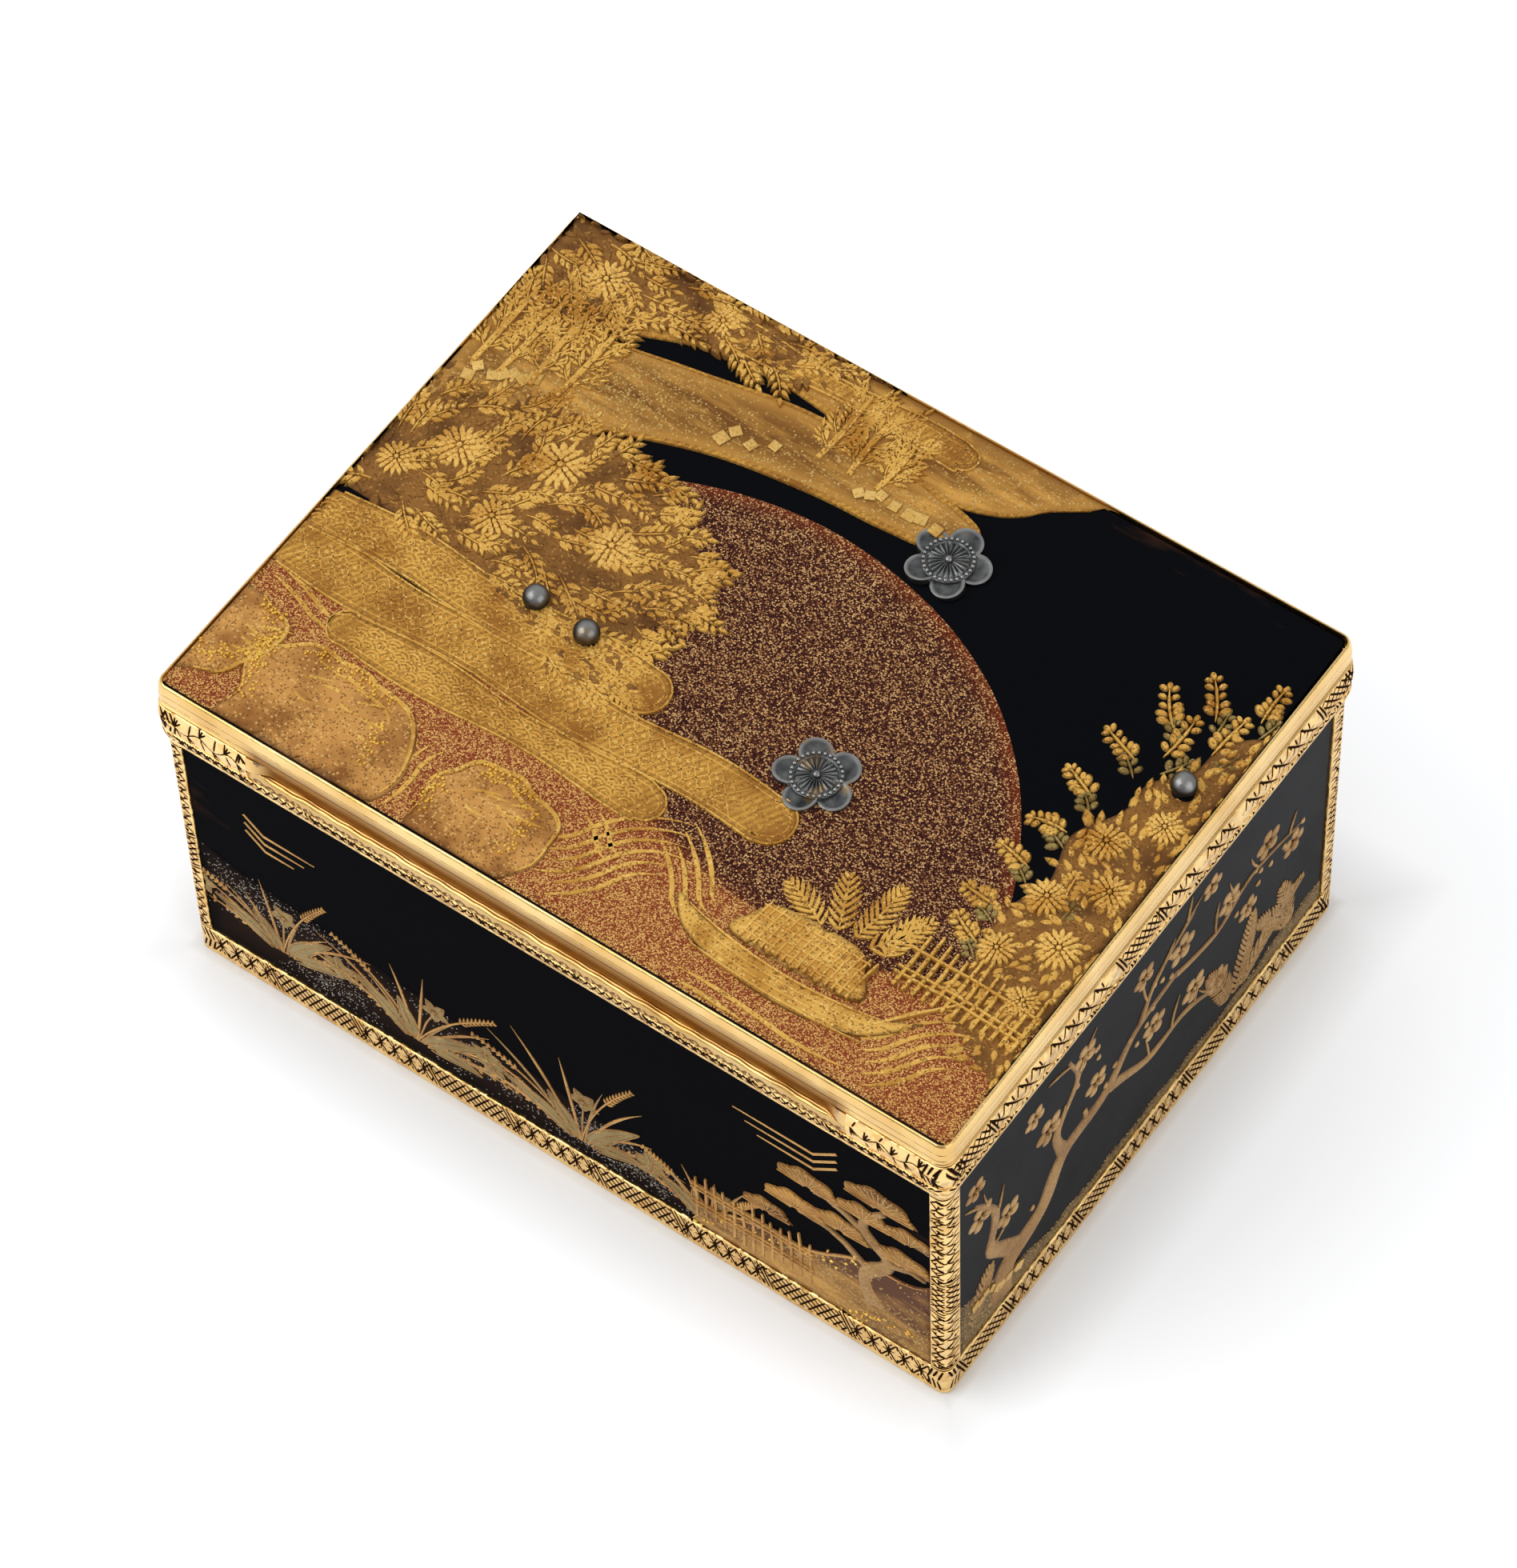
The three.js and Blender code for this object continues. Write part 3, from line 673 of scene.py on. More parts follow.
def leafStrokes(s0, s1, low, high):  # a winding stem with cut leaves and fine nicks
    strokes, mid, tall = [], (low + high) / 2, high - low
    at = np.linspace(s0, s1, max(3, int((s1 - s0) / 0.4)))
    wave = mid + 0.16 * tall * np.sin(at * 1.9)
    strokes += [(at[k], wave[k], at[k + 1], wave[k + 1], 0.09) for k in range(len(at) - 1)]
    for k in range(0, len(at) - 1, 3):
        way = 1 if k % 2 else -1
        for lean in (0.1, 0.45, 0.8):
            strokes.append((at[k], wave[k], at[k] + lean * 0.8, wave[k] + way * tall * (0.42 - 0.2 * lean)
                + jitter(), 0.11))
        strokes.append((at[k] + 0.2, wave[k] - way * 0.3, at[k] + 0.4 + jitter(), mid - way * tall * 0.42, 0.11))
    return strokes


def nickStrokes(s0, s1, low, high, pitch=0.74):  # loose cuts that lean to and fro
    strokes, tall = [], high - low
    for k, s in enumerate(np.arange(s0, s1, pitch)):
        way = 1 if k % 2 else -1
        strokes.append((s - way * 0.22 + jitter(), low + tall * 0.1, s + way * 0.24 + jitter(), low + tall * 0.52,
            0.13))
        strokes.append((s + way * 0.2 + jitter(), low + tall * 0.48, s - way * 0.16 + jitter(),
            high - tall * 0.08, 0.125))
        strokes.append((s, low + tall * (0.3 + 0.3 * (k % 3 == 0)), s + 0.34 + jitter(),
            low + tall * random.uniform(0.3, 0.7), 0.1))
    return strokes


sectionKinds = {"star": starStrokes, "hatch": hatchStrokes, "comb": combStrokes, "leaf": leafStrokes,
        "nick": nickStrokes}


def sectionStrokes(reach, low, high, marks, filler):
    # marks are (kind, from, to); what is between them is filled with the filler
    strokes, at = [], -reach
    for kind, s0, s1 in sorted(marks, key=lambda m: m[1]) + [("end", reach, reach)]:
        if s0 - at > 0.9:
            strokes += sectionKinds[filler](at + 0.25, s0 - 0.3, low, high)
        if kind != "end":
            strokes += sectionKinds[kind](s0, s1, low, high)
        at = s1
    return strokes


def carve(along, across, strokes):
    cut = np.zeros((len(along), len(across)))
    for s0, t0, s1, t1, wide in strokes:
        a, b = np.searchsorted(along, (min(s0, s1) - wide, max(s0, s1) + wide))
        c, d = np.searchsorted(across, (min(t0, t1) - wide, max(t0, t1) + wide))
        if a >= b or c >= d:
            continue
        s, t = along[a:b, None], across[None, c:d]
        ds, dt = s1 - s0, t1 - t0
        share = np.clip(((s - s0) * ds + (t - t0) * dt) / (ds * ds + dt * dt + 1e-9), 0, 1)
        gap = np.hypot(s - s0 - share * ds, t - t0 - share * dt)
        width = wide * (0.62 + 0.38 * np.sin(np.pi * (0.12 + 0.8 * share)))
        cut[a:b, c:d] = np.maximum(cut[a:b, c:d], np.clip(1.3 * (1 - gap / width), 0, 1))
    return cut


def waviness(shape, size, along, across):
    total = np.zeros(shape)
    for wave in range(6):
        a, b, p = chance.uniform(0.3, 1.6), chance.uniform(0.5, 3.0), chance.uniform(0, 6.3)
        total += np.sin(along[:, None] * a + across[None, :] * b + p)
    return total * size / 6


def sideways(path):  # the direction to the left of a path, at each of its points
    step = np.gradient(path, axis=0)
    return np.column_stack([-step[:, 1], step[:, 0]]) / (np.hypot(*step.T)[:, None] + 1e-9)


def closeSection(section, normals, lift, backRows, pitch=0.6):
    # the carved front with the plain rows that close it behind, and how many those are
    hidden, _ = spacedPath(backRows, pitch)
    sides = []
    for k in (0, 1):
        back = np.repeat(hidden[None, 1:, k], len(lift), 0)
        sides.append(np.concatenate([section[None, :, k] + lift * normals[None, :, k], back], 1))
        sides[k][:, -1] = sides[k][:, 0]
    return sides + [np.zeros((len(lift), len(hidden) - 1))]


def addMoulding(name, side, front, backRows, strokes, body, finish, step, sharp=50, tarnishAndDarkReflection=None):
    # front runs round the shown part of the section, backRows close it behind
    section, run = spacedPath(front, engraving["grain"])
    along = stations(side, step)
    cut = carve(along, run, strokes)
    lift = np.minimum(waviness(cut.shape, 0.012, along, run) - engraving["depth"] * np.minimum(cut, 0.85), 0)
    out, height, blank = closeSection(section, -sideways(section), lift, [front[-1]] + list(backRows)
        + [front[0]])
    if name == "lid_band_front":  # room for the thumbpiece
        out = np.where(np.abs(along)[:, None] < thumb["reach"] - 0.05, np.minimum(out, -0.98), out)
    points = setOnSide(side, along[:, None] + 0 * out, out, height)
    if side == "back" and name.startswith(("upper", "lid_band")):
        points = clearHinge(points)
    attributes = {"cut": np.concatenate([cut, blank], 1)}
    if tarnishAndDarkReflection is not None:
        attributes["tarnishAndDarkReflection"] = np.concatenate([tarnishAndDarkReflection(along, run, section), blank], 1)
    piece = wrapSheet(points, attributes)
    return finishPiece(piece, name + "_chased", body, finish, [name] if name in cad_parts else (),
        sharp)


def runAt(front, height):  # how far round the section a height is
    section, run = spacedPath(front, engraving["grain"])
    return float(run[np.argmin(np.abs(section[:, 1] - height))])


thumb = {"reach": 30.5, "top": 38.3, "foot": 35.05, "topOut": 0.2, "coveOut": -0.35, "lipIn": 0.12,
        "lipTop": 36.36}
baseRail = {
    "front": [(-0.5, 0.0), (-0.2, 0.0), (-0.08, 0.06), (-0.02, 0.2), (-0.02, 0.36), (-0.07, 0.46),
        (-0.01, 0.54), (0.0, 0.62), (0.0, 3.66), (-0.05, 3.77), (-0.15, 3.8), (-0.3, 3.8)],
    "back": [(-2.0, 3.8), (-2.0, 0.0)],
    "engravedFrom": 0.62, "engravedTo": 3.7,
    "longMarks": [("hatch", -31.2, -22.4), ("hatch", -14.0, -5.9), ("hatch", 3.9, 12.0), ("hatch", 21.4, 29.6)],
    "sideMarks": [("hatch", -27.5, -21.0), ("hatch", -10.0, -4.0), ("hatch", 7.0, 12.5), ("hatch", 23.0, 28.0)],
}
upperRail = {
    "front": [(-0.6, 33.0), (0.05, 33.0), (0.12, 33.06), (0.14, 33.2), (0.15, 33.36), (0.22, 33.42),
        (0.18, 33.5), (0.26, 33.7), (0.34, 34.0), (0.43, 34.35), (0.48, 34.65), (0.47, 34.86), (0.4, 34.95),
        (-0.9, 34.95)],
    "back": [(-2.0, 34.95), (-2.0, 33.0)],
    "engravedFrom": 33.54, "engravedTo": 34.9,
    "longMarks": [("hatch", -30.6, -24.2), ("hatch", -12.7, -6.9), ("hatch", 4.0, 10.1), ("hatch", 21.6, 28.4)],
    "sideMarks": [("hatch", -27.0, -21.5), ("hatch", -9.0, -3.5), ("hatch", 6.5, 12.0), ("hatch", 22.0, 27.5)],
}
lidBand = {
    "front": [(-0.6, 35.05), (0.3, 35.05), (0.39, 35.1), (0.42, 35.25), (0.49, 35.7), (0.56, 36.3),
        (0.58, 36.7), (0.56, 37.1), (0.49, 37.6), (0.42, 38.05), (0.4, 38.25), (0.3, 38.3), (0.0, 38.3)],
    "back": [(-1.6, 38.3), (-1.6, 35.05)],
    "engravedFrom": 35.12, "engravedTo": 38.2,
    "sideMarks": [("hatch", -29.0, -24.0), ("comb", -15.0, -9.0), ("hatch", -5.0, 0.5), ("comb", 8.0, 13.5),
        ("comb", 20.0, 24.0), ("hatch", 25.0, 29.0)],
    "backMarks": [("hatch", -37.0, -31.0), ("comb", -20.0, -13.0), ("hatch", -3.5, 3.5), ("comb", 13.0, 20.0),
        ("hatch", 31.0, 37.0)],
    "frontMarks": [("leaf", -39.4, -31.0), ("leaf", 31.0, 39.4)],
}


def cornerStrokes(straight, low, high):
    strokes = []
    for sign in (-1, 1):
        for k in range(3):
            s = sign * (straight + 0.5 - k * 0.5)
            strokes.append((s, high - 0.1, s - sign * 0.4, (low + high) / 2 + 0.2 + jitter(0.2), 0.15))
            strokes.append((s - sign * 0.2, low + 0.1, s - sign * 0.5, (low + high) / 2 - 0.2 + jitter(0.2),
                0.14))
    return strokes


def addPanels():
    for side in fourSides:
        name = f"lacquer_panel_{side}"
        low, high = (Vector(corner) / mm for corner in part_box(name))
        high.z = pilaster["high"] + 0.1
        panel = newPrimitive("cube", (low + high) / 2, high - low, size=1)
        finish = "sideBlack" if side in ("left", "right") else "frontBlack"
        finishPiece(panel, name + "_glossy", "body", finish, [name], 30)


def addRails():
    for side in fourSides:
        straight = straightLength(side)
        marksKey = "longMarks" if side in ("front", "back") else "sideMarks"
        for prefix, body, shape in (("base_rail", "body", baseRail), ("upper_rail", "body", upperRail),
                ("lid_band", "lid", lidBand)):
            key = marksKey
            if prefix == "lid_band":
                key = {"front": "frontMarks", "back": "backMarks"}.get(side, "sideMarks")
            low, high = (runAt(shape["front"], shape[k]) for k in ("engravedFrom", "engravedTo"))
            filler = "star" if prefix == "base_rail" or side in ("front", "back") else "nick"
            if prefix == "lid_band":
                filler = "comb"
            strokes = sectionStrokes(straight - 0.6, low, high, shape[key], filler)
            bold = 1.15 if prefix == "upper_rail" else 1.0
            strokes = [stroke[:4] + (stroke[4] * bold,) for stroke in strokes]
            strokes += cornerStrokes(straight, low, high)
            addMoulding(f"{prefix}_{side}", side, shape["front"], shape["back"], strokes, body, "engravedGold",
                engraving["grain"])


pilaster = {"low": 3.8, "high": 33.0, "frontWidth": 1.7, "sideWidth": 2.1, "hatchFrom": 13.8, "hatchTo": 18.2}


def addPilasters():
    for place, sideX, sideY in (("front_left", -1, -1), ("front_right", 1, -1), ("back_left", -1, 1),
            ("back_right", 1, 1)):
        wide, deep = pilaster["frontWidth"], pilaster["sideWidth"]
        outline = [(40 - wide, 30 - 0.7), (40 - wide, 30 - 0.08), (40 - wide + 0.08, 30)]
        outline += [(40 - 1 + math.sin(a), 30 - 1 + math.cos(a)) for a in np.linspace(0, math.pi / 2, 14)]
        outline += [(40, 30 - deep + 0.08), (40 - 0.08, 30 - deep), (40 - 0.7, 30 - deep)]
        section, run = spacedPath(outline, engraving["grain"])
        low, high = pilaster["low"], pilaster["high"]
        along = np.linspace(low, high, int((high - low) / engraving["grain"]) + 1)
        middle = run[np.argmin(np.abs(section[:, 0] - section[:, 1] - 10))]
        strokes = []
        for which, (inner, arris) in enumerate(((run[0] + 0.75, middle - 0.06), (run[-1] - 0.75, middle + 0.06))):
            t0, t1 = sorted((inner, arris))
            strokes += hatchStrokes(pilaster["hatchFrom"], pilaster["hatchTo"], t0, t1)
            for z0, z1 in ((low + 0.7, pilaster["hatchFrom"] - 0.9), (pilaster["hatchTo"] + 0.7, high - 0.8)):
                strokes += nickStrokes(z0, z1, t0, t1, 0.68 + 0.06 * which)
                for z in np.arange(z0, z1, 1.6):  # cut leaves that meet at the corner of the post
                    strokes.append((z + jitter(), arris, z + 0.5 + jitter(), (inner + arris) / 2, 0.15))
        strokes += [(z, run[0] + 0.6, z, run[-1] - 0.6, 0.12) for z in (low + 0.15, low + 0.5, high - 0.15,
            high - 0.5)]
        cut = carve(along, run, strokes)
        lift = np.minimum(waviness(cut.shape, 0.01, along, run), 0) - engraving["depth"] * np.minimum(cut, 0.85)
        x, y, blank = closeSection(section, sideways(section), lift, [
            outline[-1], (40 - deep, 30 - deep), (40 - wide, 30 - deep), outline[0]], 0.5)
        points = np.stack([sideX * x, sideY * y, np.repeat(along[:, None], x.shape[1], 1)], -1)
        piece = wrapSheet(points, {"cut": np.concatenate([cut, blank], 1)})
        finishPiece(piece, f"pilaster_{place}_chased", "body", "engravedGold",
            [f"pilaster_{place}"], 50)


addPanels()
addRails()
addPilasters()
print("engraved mounts ready")


bezel = {
    "front": [(0.0, 38.3), (0.22, 38.3), (0.3, 38.36), (0.32, 38.5), (0.28, 38.62), (0.2, 38.68), (0.27, 38.74),
        (0.3, 38.85), (0.3, 39.12), (0.22, 39.2), (0.29, 39.28), (0.3, 39.45), (0.29, 39.85), (0.26, 40.0),
        (0.19, 40.05), (0.25, 40.12), (0.24, 40.4), (0.2, 40.65), (0.14, 40.85), (0.06, 41.02), (-0.03, 41.13),
        (-0.1, 41.18), (-0.16, 41.15), (-0.2, 41.05), (-0.2, 40.5)],
    "back": [(-0.45, 39.9), (-1.6, 39.9), (-1.6, 38.3)],
    # tarnish and painted dark reflection by height on the section, stronger on the front over the thumbpiece
    "tarnishAndDarkReflection": [(38.3, 38.8, 39.1, 41.3), (0.4, 0.15, 0.0, 0.0)],
    "tarnishAndDarkReflectionFront": [(38.3, 39.2, 39.5, 39.95, 40.02, 41.3), (0.95, 0.85, 0.62, 0.42, 0.0, 0.0)],
}


def addBezel():
    # two grooves low on the bezel, their dark painted as shade
    lines = [(-41, low, 41, low, wide) for low, wide in (
        (runAt(bezel["front"], 38.34), 0.16), (runAt(bezel["front"], 38.68), 0.12))]
    for side in fourSides:
        deep = bezel["tarnishAndDarkReflectionFront"] if side == "front" else bezel["tarnishAndDarkReflection"]
        reach = 30.8 if side == "front" else 50  # the tone ends with the thumbpiece

        def tint(along, run, section):
            return np.clip(reach - np.abs(along), 0, 1)[:, None] * np.interp(section[:, 1], *deep)[None, :]

        addMoulding(f"lid_bezel_{side}", side, bezel["front"], bezel["back"], lines, "lid", "polishedGold",
            0.8, sharp=60, tarnishAndDarkReflection=tint)
    # a black strip along the front bezel's inner edge: painted shadow between the gold and the lacquer
    addMoulding("lid_lacquer_edge", "front", [(-0.46, 40.5), (-0.45, 40.98), (-0.4, 41.02), (-0.24, 41.02),
        (-0.19, 40.6)], [(-0.35, 40.35)], [], "lid", "black", 0.8, sharp=60)


def addThumbpiece():
    step = engraving["grain"] * 1.6
    along = np.linspace(-thumb["reach"], thumb["reach"], int(2 * thumb["reach"] / step) + 1)
    t = np.linspace(0, 1, 26)[:, None]
    top, foot = thumb["top"], thumb["foot"]
    ends = np.array([[thumb["topOut"], top], [thumb["coveOut"], top], [thumb["coveOut"], thumb["lipTop"]],
        [thumb["lipIn"], thumb["lipTop"]]])
    shares = (1 - t) ** 3, 3 * t * (1 - t) ** 2, 3 * t ** 2 * (1 - t), t ** 3
    cove = sum(part * end for part, end in zip(shares, ends))
    lip = np.array([(0.16, 36.42), (0.24, 36.46), (0.33, 36.44), (0.41, 36.38), (0.47, 36.29), (0.51, 36.18),
        (0.52, 36.06), (0.49, 35.95), (0.43, 35.88), (0.37, 35.83), (0.33, 35.8)])
    strip = np.linspace((0.34, 35.74), (0.46, 35.1), 8)
    behind = [(-0.95, foot), (-0.95, top), (-0.4, top), (0.1, top)]
    section = np.concatenate([behind, cove, lip, strip, [(0.3, foot), (-0.95, foot)]])
    coveFrom, coveTo = len(behind), len(behind) + len(cove)
    out, height = (np.repeat(section[None, :, k], len(along), 0) for k in (0, 1))
    first, last = coveTo - 5, coveTo + 8
    wave = (np.sin(along * 0.92) + 0.7 * np.sin(along * 1.43 + 1) + 0.5 * np.sin(along * 2.7 + 2))[:, None]
    fade = np.clip((thumb["reach"] - np.abs(along)) / 2.6, 0, 1)[:, None]
    fade = fade * fade * (3 - 2 * fade)  # the cove runs out at its ends
    band = np.interp(section[:, 1], (35.05, 36.7, 38.3), (0.4, 0.6, 0.4))[None, :]
    isCove = ((section[:, 0] > -0.5) & (section[:, 0] < 0.4) & (section[:, 1] > 36.3))[None, :]
    out = np.where(isCove, out + (band - out) * (1 - fade), out)
    share = np.zeros(len(section))
    share[first:last] = np.sin(np.linspace(0.3, math.pi - 0.2, last - first))
    out += (0.04 * wave - 0.09) * share[None, :]
    height += 0.035 * np.roll(wave, 9, 0) * share[None, :]
    isLip = (section[:, 0] > 0.3)[None, :] & (section[:, 1] < 37)[None, :]
    out = np.where(isLip, 0.3 + (out - 0.3) * fade ** 0.5, out)
    # the cove's amber, and some on the lip: tarnish plus painted dark reflection, fading out at the cove's ends
    tarnishAndDarkReflection = np.zeros((len(along), len(section)))
    depth = np.interp(np.linspace(0, 1, len(cove)), (0, 0.1, 0.16, 0.24, 0.3, 0.72, 0.9, 1),
        (0.7, 0.8, 0.3, 0.3, 1, 1, 0.5, 0.2))
    tarnishAndDarkReflection[:, coveFrom:coveTo] = depth[None, :] * fade
    tarnishAndDarkReflection[:, coveTo:] = 0.3
    lengths = np.concatenate([[0], np.cumsum(np.hypot(*np.diff(section, axis=0).T))])
    # the thumbpiece's graver marks are painted only, with no groove cut: their dark is dirt and painted shade
    clumps = []
    for side in (-1, 1):
        clumps += leafStrokes(*sorted((side * (thumb["reach"] - 0.8), side * (thumb["reach"] - 6.5))), lengths[6],
            lengths[15])
    clumps += nickStrokes(-29.8, 29.8, lengths[-9], lengths[-3], 0.66)
    cut = carve(along, lengths, clumps)
    cut[:, coveFrom - 1] = 0.8
    points = setOnSide("front", along[:, None] + 0 * out, out, height)
    piece = wrapSheet(points, {"tarnishAndDarkReflection": tarnishAndDarkReflection * (1 - cut), "cut": cut})
    finishPiece(piece, "thumbpiece_polished", "lid", "polishedGold", ["thumbpiece"], 60)


addBezel()
addThumbpiece()
print("polished mounts ready")


# Silver mounts
def pick(piece, test):  # selects the faces that pass, by centre in mm and normal, and stays in edit mode
    bpy.ops.object.mode_set(mode="EDIT")
    bpy.ops.mesh.select_mode(type="FACE")
    bpy.ops.mesh.select_all(action="DESELECT")
    bpy.ops.object.mode_set(mode="OBJECT")
    for face in piece.data.polygons:
        face.select = bool(test(face.center / mm, face.normal))
    bpy.ops.object.mode_set(mode="EDIT")


def applyModifier(piece, kind, **settings):
    made = piece.modifiers.new("shaping", kind)
    for key, value in settings.items():
        setattr(made, key, value)
    bpy.context.view_layer.objects.active = piece
    bpy.ops.object.modifier_apply(modifier=made.name)


def softEdges(piece, width, segments=2, angle=35):
    applyModifier(piece, "BEVEL", width=width * mm, segments=segments, limit_method="ANGLE",
        angle_limit=math.radians(angle))


def copyMoved(piece, matrix):
    made = piece.copy()
    made.data = piece.data.copy()
    bpy.context.scene.collection.objects.link(made)
    made.data.transform(matrix)
    return made


def joinAll(pieces):
    bpy.ops.object.select_all(action="DESELECT")
    for piece in pieces:
        piece.select_set(True)
    bpy.context.view_layer.objects.active = pieces[0]
    bpy.ops.object.join()
    return pieces[0]


def mark(piece, key, rule):  # a value for every vertex, from its place in mm
    points = np.array([v.co for v in piece.data.vertices]) / mm
    piece.data.attributes.new(key, "FLOAT", "POINT").data.foreach_set("value", rule(points).astype(np.float32))


blossom = {"places": {"1": (7.7, 17.4, 0.25), "2": (11.0, -6.6, 0.95)}, "petalRadius": 1.5, "petalReach": 2.35,
        "petalDepth": 0.62, "tilt": 0.11, "heartRadius": 2.35, "heartTop": 0.74, "beads": 28, "ribs": 22}


def makePetal():
    radius, reach, depth = blossom["petalRadius"], blossom["petalReach"], blossom["petalDepth"]
    petal = newPrimitive("cylinder", (reach, 0, 0.4 - depth / 2), vertices=36, radius=radius, depth=depth)
    pick(petal, lambda centre, normal: normal.z > 0.9)
    for wide, sink in ((0.1, 0.03), (0.08, 0.0), (0.2, -0.09), (0.35, -0.05), (0.35, 0.03)):
        bpy.ops.mesh.inset(thickness=wide * mm, depth=sink * mm)
    bpy.ops.object.mode_set(mode="OBJECT")
    mark(petal, "polish", lambda p: 0.22 + 0.5 * np.clip((np.hypot(p[:, 0] - reach, p[:, 1]) - radius
        + 0.36) / 0.2, 0, 1))
    petal.data.transform(Matrix.Rotation(blossom["tilt"], 4, "X"))
    return petal


def makeHeart():
    radius, top = blossom["heartRadius"], blossom["heartTop"]
    heart = newPrimitive("cylinder", (0, 0, top - 0.2 - 0.45), vertices=120, radius=radius, depth=0.9)
    pick(heart, lambda centre, normal: normal.z > 0.9)
    for wide, sink in ((0.08, 0.06), (0.34, -0.02), (0.12, -0.1), (0.1, 0.06), (0.45, 0.05), (0.5, 0.03),
            (0.3, -0.05)):
        bpy.ops.mesh.inset(thickness=wide * mm, depth=sink * mm)
    bpy.ops.object.mode_set(mode="OBJECT")
    for vertex in heart.data.vertices:
        x, y, z = vertex.co / mm
        gap = math.hypot(x, y)
        if z > top - 0.3 and 0.45 < gap < 1.75:
            vertex.co.z += 0.07 * mm * math.sin(blossom["ribs"] * math.atan2(y, x))
    ribs = blossom["ribs"]
    mark(heart, "polish", lambda p: 0.25 + 0.3 * np.sin(ribs * np.arctan2(p[:, 1], p[:, 0])) * (np.hypot(p[:, 0],
        p[:, 1]) < 1.8))
    bead = newPrimitive("uv_sphere", (0, 0, 0), segments=12, ring_count=8, radius=0.19)
    mark(bead, "polish", lambda p: 0.55 + 2.5 * p[:, 2])
    beads = []
    for k in range(blossom["beads"]):
        turn = 2 * math.pi * k / blossom["beads"]
        place = Vector(((radius - 0.2) * math.cos(turn), (radius - 0.2) * math.sin(turn), top - 0.12)) * mm
        beads.append(copyMoved(bead, Matrix.Translation(place)))
    bpy.data.objects.remove(bead)
    pip = newPrimitive("uv_sphere", (0, 0, top - 0.12), segments=20, ring_count=12, radius=0.36)
    mark(pip, "polish", lambda p: 0.6 + 0 * p[:, 2])
    return joinAll([heart] + beads + [pip])


def addBlossoms():
    petal, heart = makePetal(), makeHeart()
    for number, (x, y, turn) in blossom["places"].items():
        centre = Matrix.Translation(Vector((x, y, lidPanelTop)) * mm)
        parts = [copyMoved(petal, centre @ Matrix.Rotation(turn + k * 2 * math.pi / 5, 4, "Z")) for k in range(5)]
        parts.append(copyMoved(heart, centre @ Matrix.Rotation(turn, 4, "Z")))
        name = f"silver_blossom_{number}"
        finishPiece(joinAll(parts), name + "_chased", "lid", "silver", [name], 35)
    for pattern in (petal, heart):
        bpy.data.objects.remove(pattern)


stud = {"places": {"1": (-18.6, -5.4), "2": (-13.0, -5.9), "3": (36.5, 9.6)}, "radius": 1.18, "centre": 41.65,
        "dent": 0.025}


def addStuds():
    for number, (x, y) in stud["places"].items():
        ball = newPrimitive("uv_sphere", (x, y, stud["centre"]), segments=40, ring_count=24,
            radius=stud["radius"])
        bpy.ops.object.mode_set(mode="EDIT")
        bpy.ops.mesh.select_all(action="SELECT")
        bpy.ops.mesh.bisect(plane_co=(0, 0, (lidPanelTop - 0.1) * mm), plane_no=(0, 0, 1), clear_inner=True,
            use_fill=True)
        bpy.ops.object.mode_set(mode="OBJECT")
        turns = chance.uniform(-2.5, 2.5, (5, 3))
        for vertex in ball.data.vertices:
            place = vertex.co / mm - Vector((x, y, stud["centre"]))
            swell = sum(math.sin(place.dot(Vector(t)) * 2 + k) for k, t in enumerate(turns))
            vertex.co += place.normalized() * (swell / 5 - 0.6) * stud["dent"] * mm
        heart = Vector((0.35, -0.2, 1.0)).normalized()
        mark(ball, "polish", lambda p: np.clip(
            (((p - [x, y, stud["centre"]]) @ np.array(heart)) / stud["radius"] - 0.45) / 0.6, 0, 0.75))
        finishPiece(ball, f"silver_stud_{number}_ball", "lid", "silver", [f"silver_stud_{number}"], 60)


def addSeats():  # a black ring round each stud: painted shade at the lacquer's broken edge round the mount
    for number, (x, y) in stud["places"].items():
        seat = newPrimitive("torus", (x, y, lidPanelTop + 0.12), major_segments=48, minor_segments=8,
            major_radius=1.0, minor_radius=0.2)
        turns = chance.uniform(0, 6.3, 3)
        for vertex in seat.data.vertices:
            place = vertex.co / mm - Vector((x, y, lidPanelTop))
            turn = math.atan2(place.y, place.x)
            grow = 1 + 0.12 * math.sin(2 * turn + turns[0]) + 0.05 * math.sin(5 * turn + turns[1])
            vertex.co.x, vertex.co.y = (x + place.x * grow) * mm, (y + place.y * grow) * mm
        finishPiece(seat, f"stud_shade_ring_{number}", "lid", "black", (), 60)


addBlossoms()
addStuds()
addSeats()
print("silver ready")


def knuckleLength():
    return (2 * hinge["reach"] + hinge["gap"]) / hinge["count"] - hinge["gap"]


def combine(piece, other, operation):
    applyModifier(piece, "BOOLEAN", operation=operation, solver="EXACT", object=other)
    bpy.data.objects.remove(other)


def makeKnuckle(lugLow, lugHigh):
    length, centre, turn = knuckleLength(), (0, hinge["y"], hinge["z"]), (0, math.pi / 2, 0)
    barrel = newPrimitive("cylinder", centre, turn=turn, vertices=48, radius=hinge["radius"], depth=length)
    lug = newPrimitive("cube", (0, hinge["y"] - hinge["lugDepth"] / 2, hinge["z"] + (lugLow + lugHigh) / 2),
        (length, hinge["lugDepth"], lugHigh - lugLow), size=1)
    combine(barrel, lug, "UNION")
    bore = newPrimitive("cylinder", centre, turn=turn, vertices=40, radius=hinge["bore"], depth=2 * length)
    combine(barrel, bore, "DIFFERENCE")
    softEdges(barrel, 0.07, 2, 50)
    for key in ("tarnishAndDarkReflection", "cut"):
        mark(barrel, key, lambda p: 0 * p[:, 0])
    return barrel


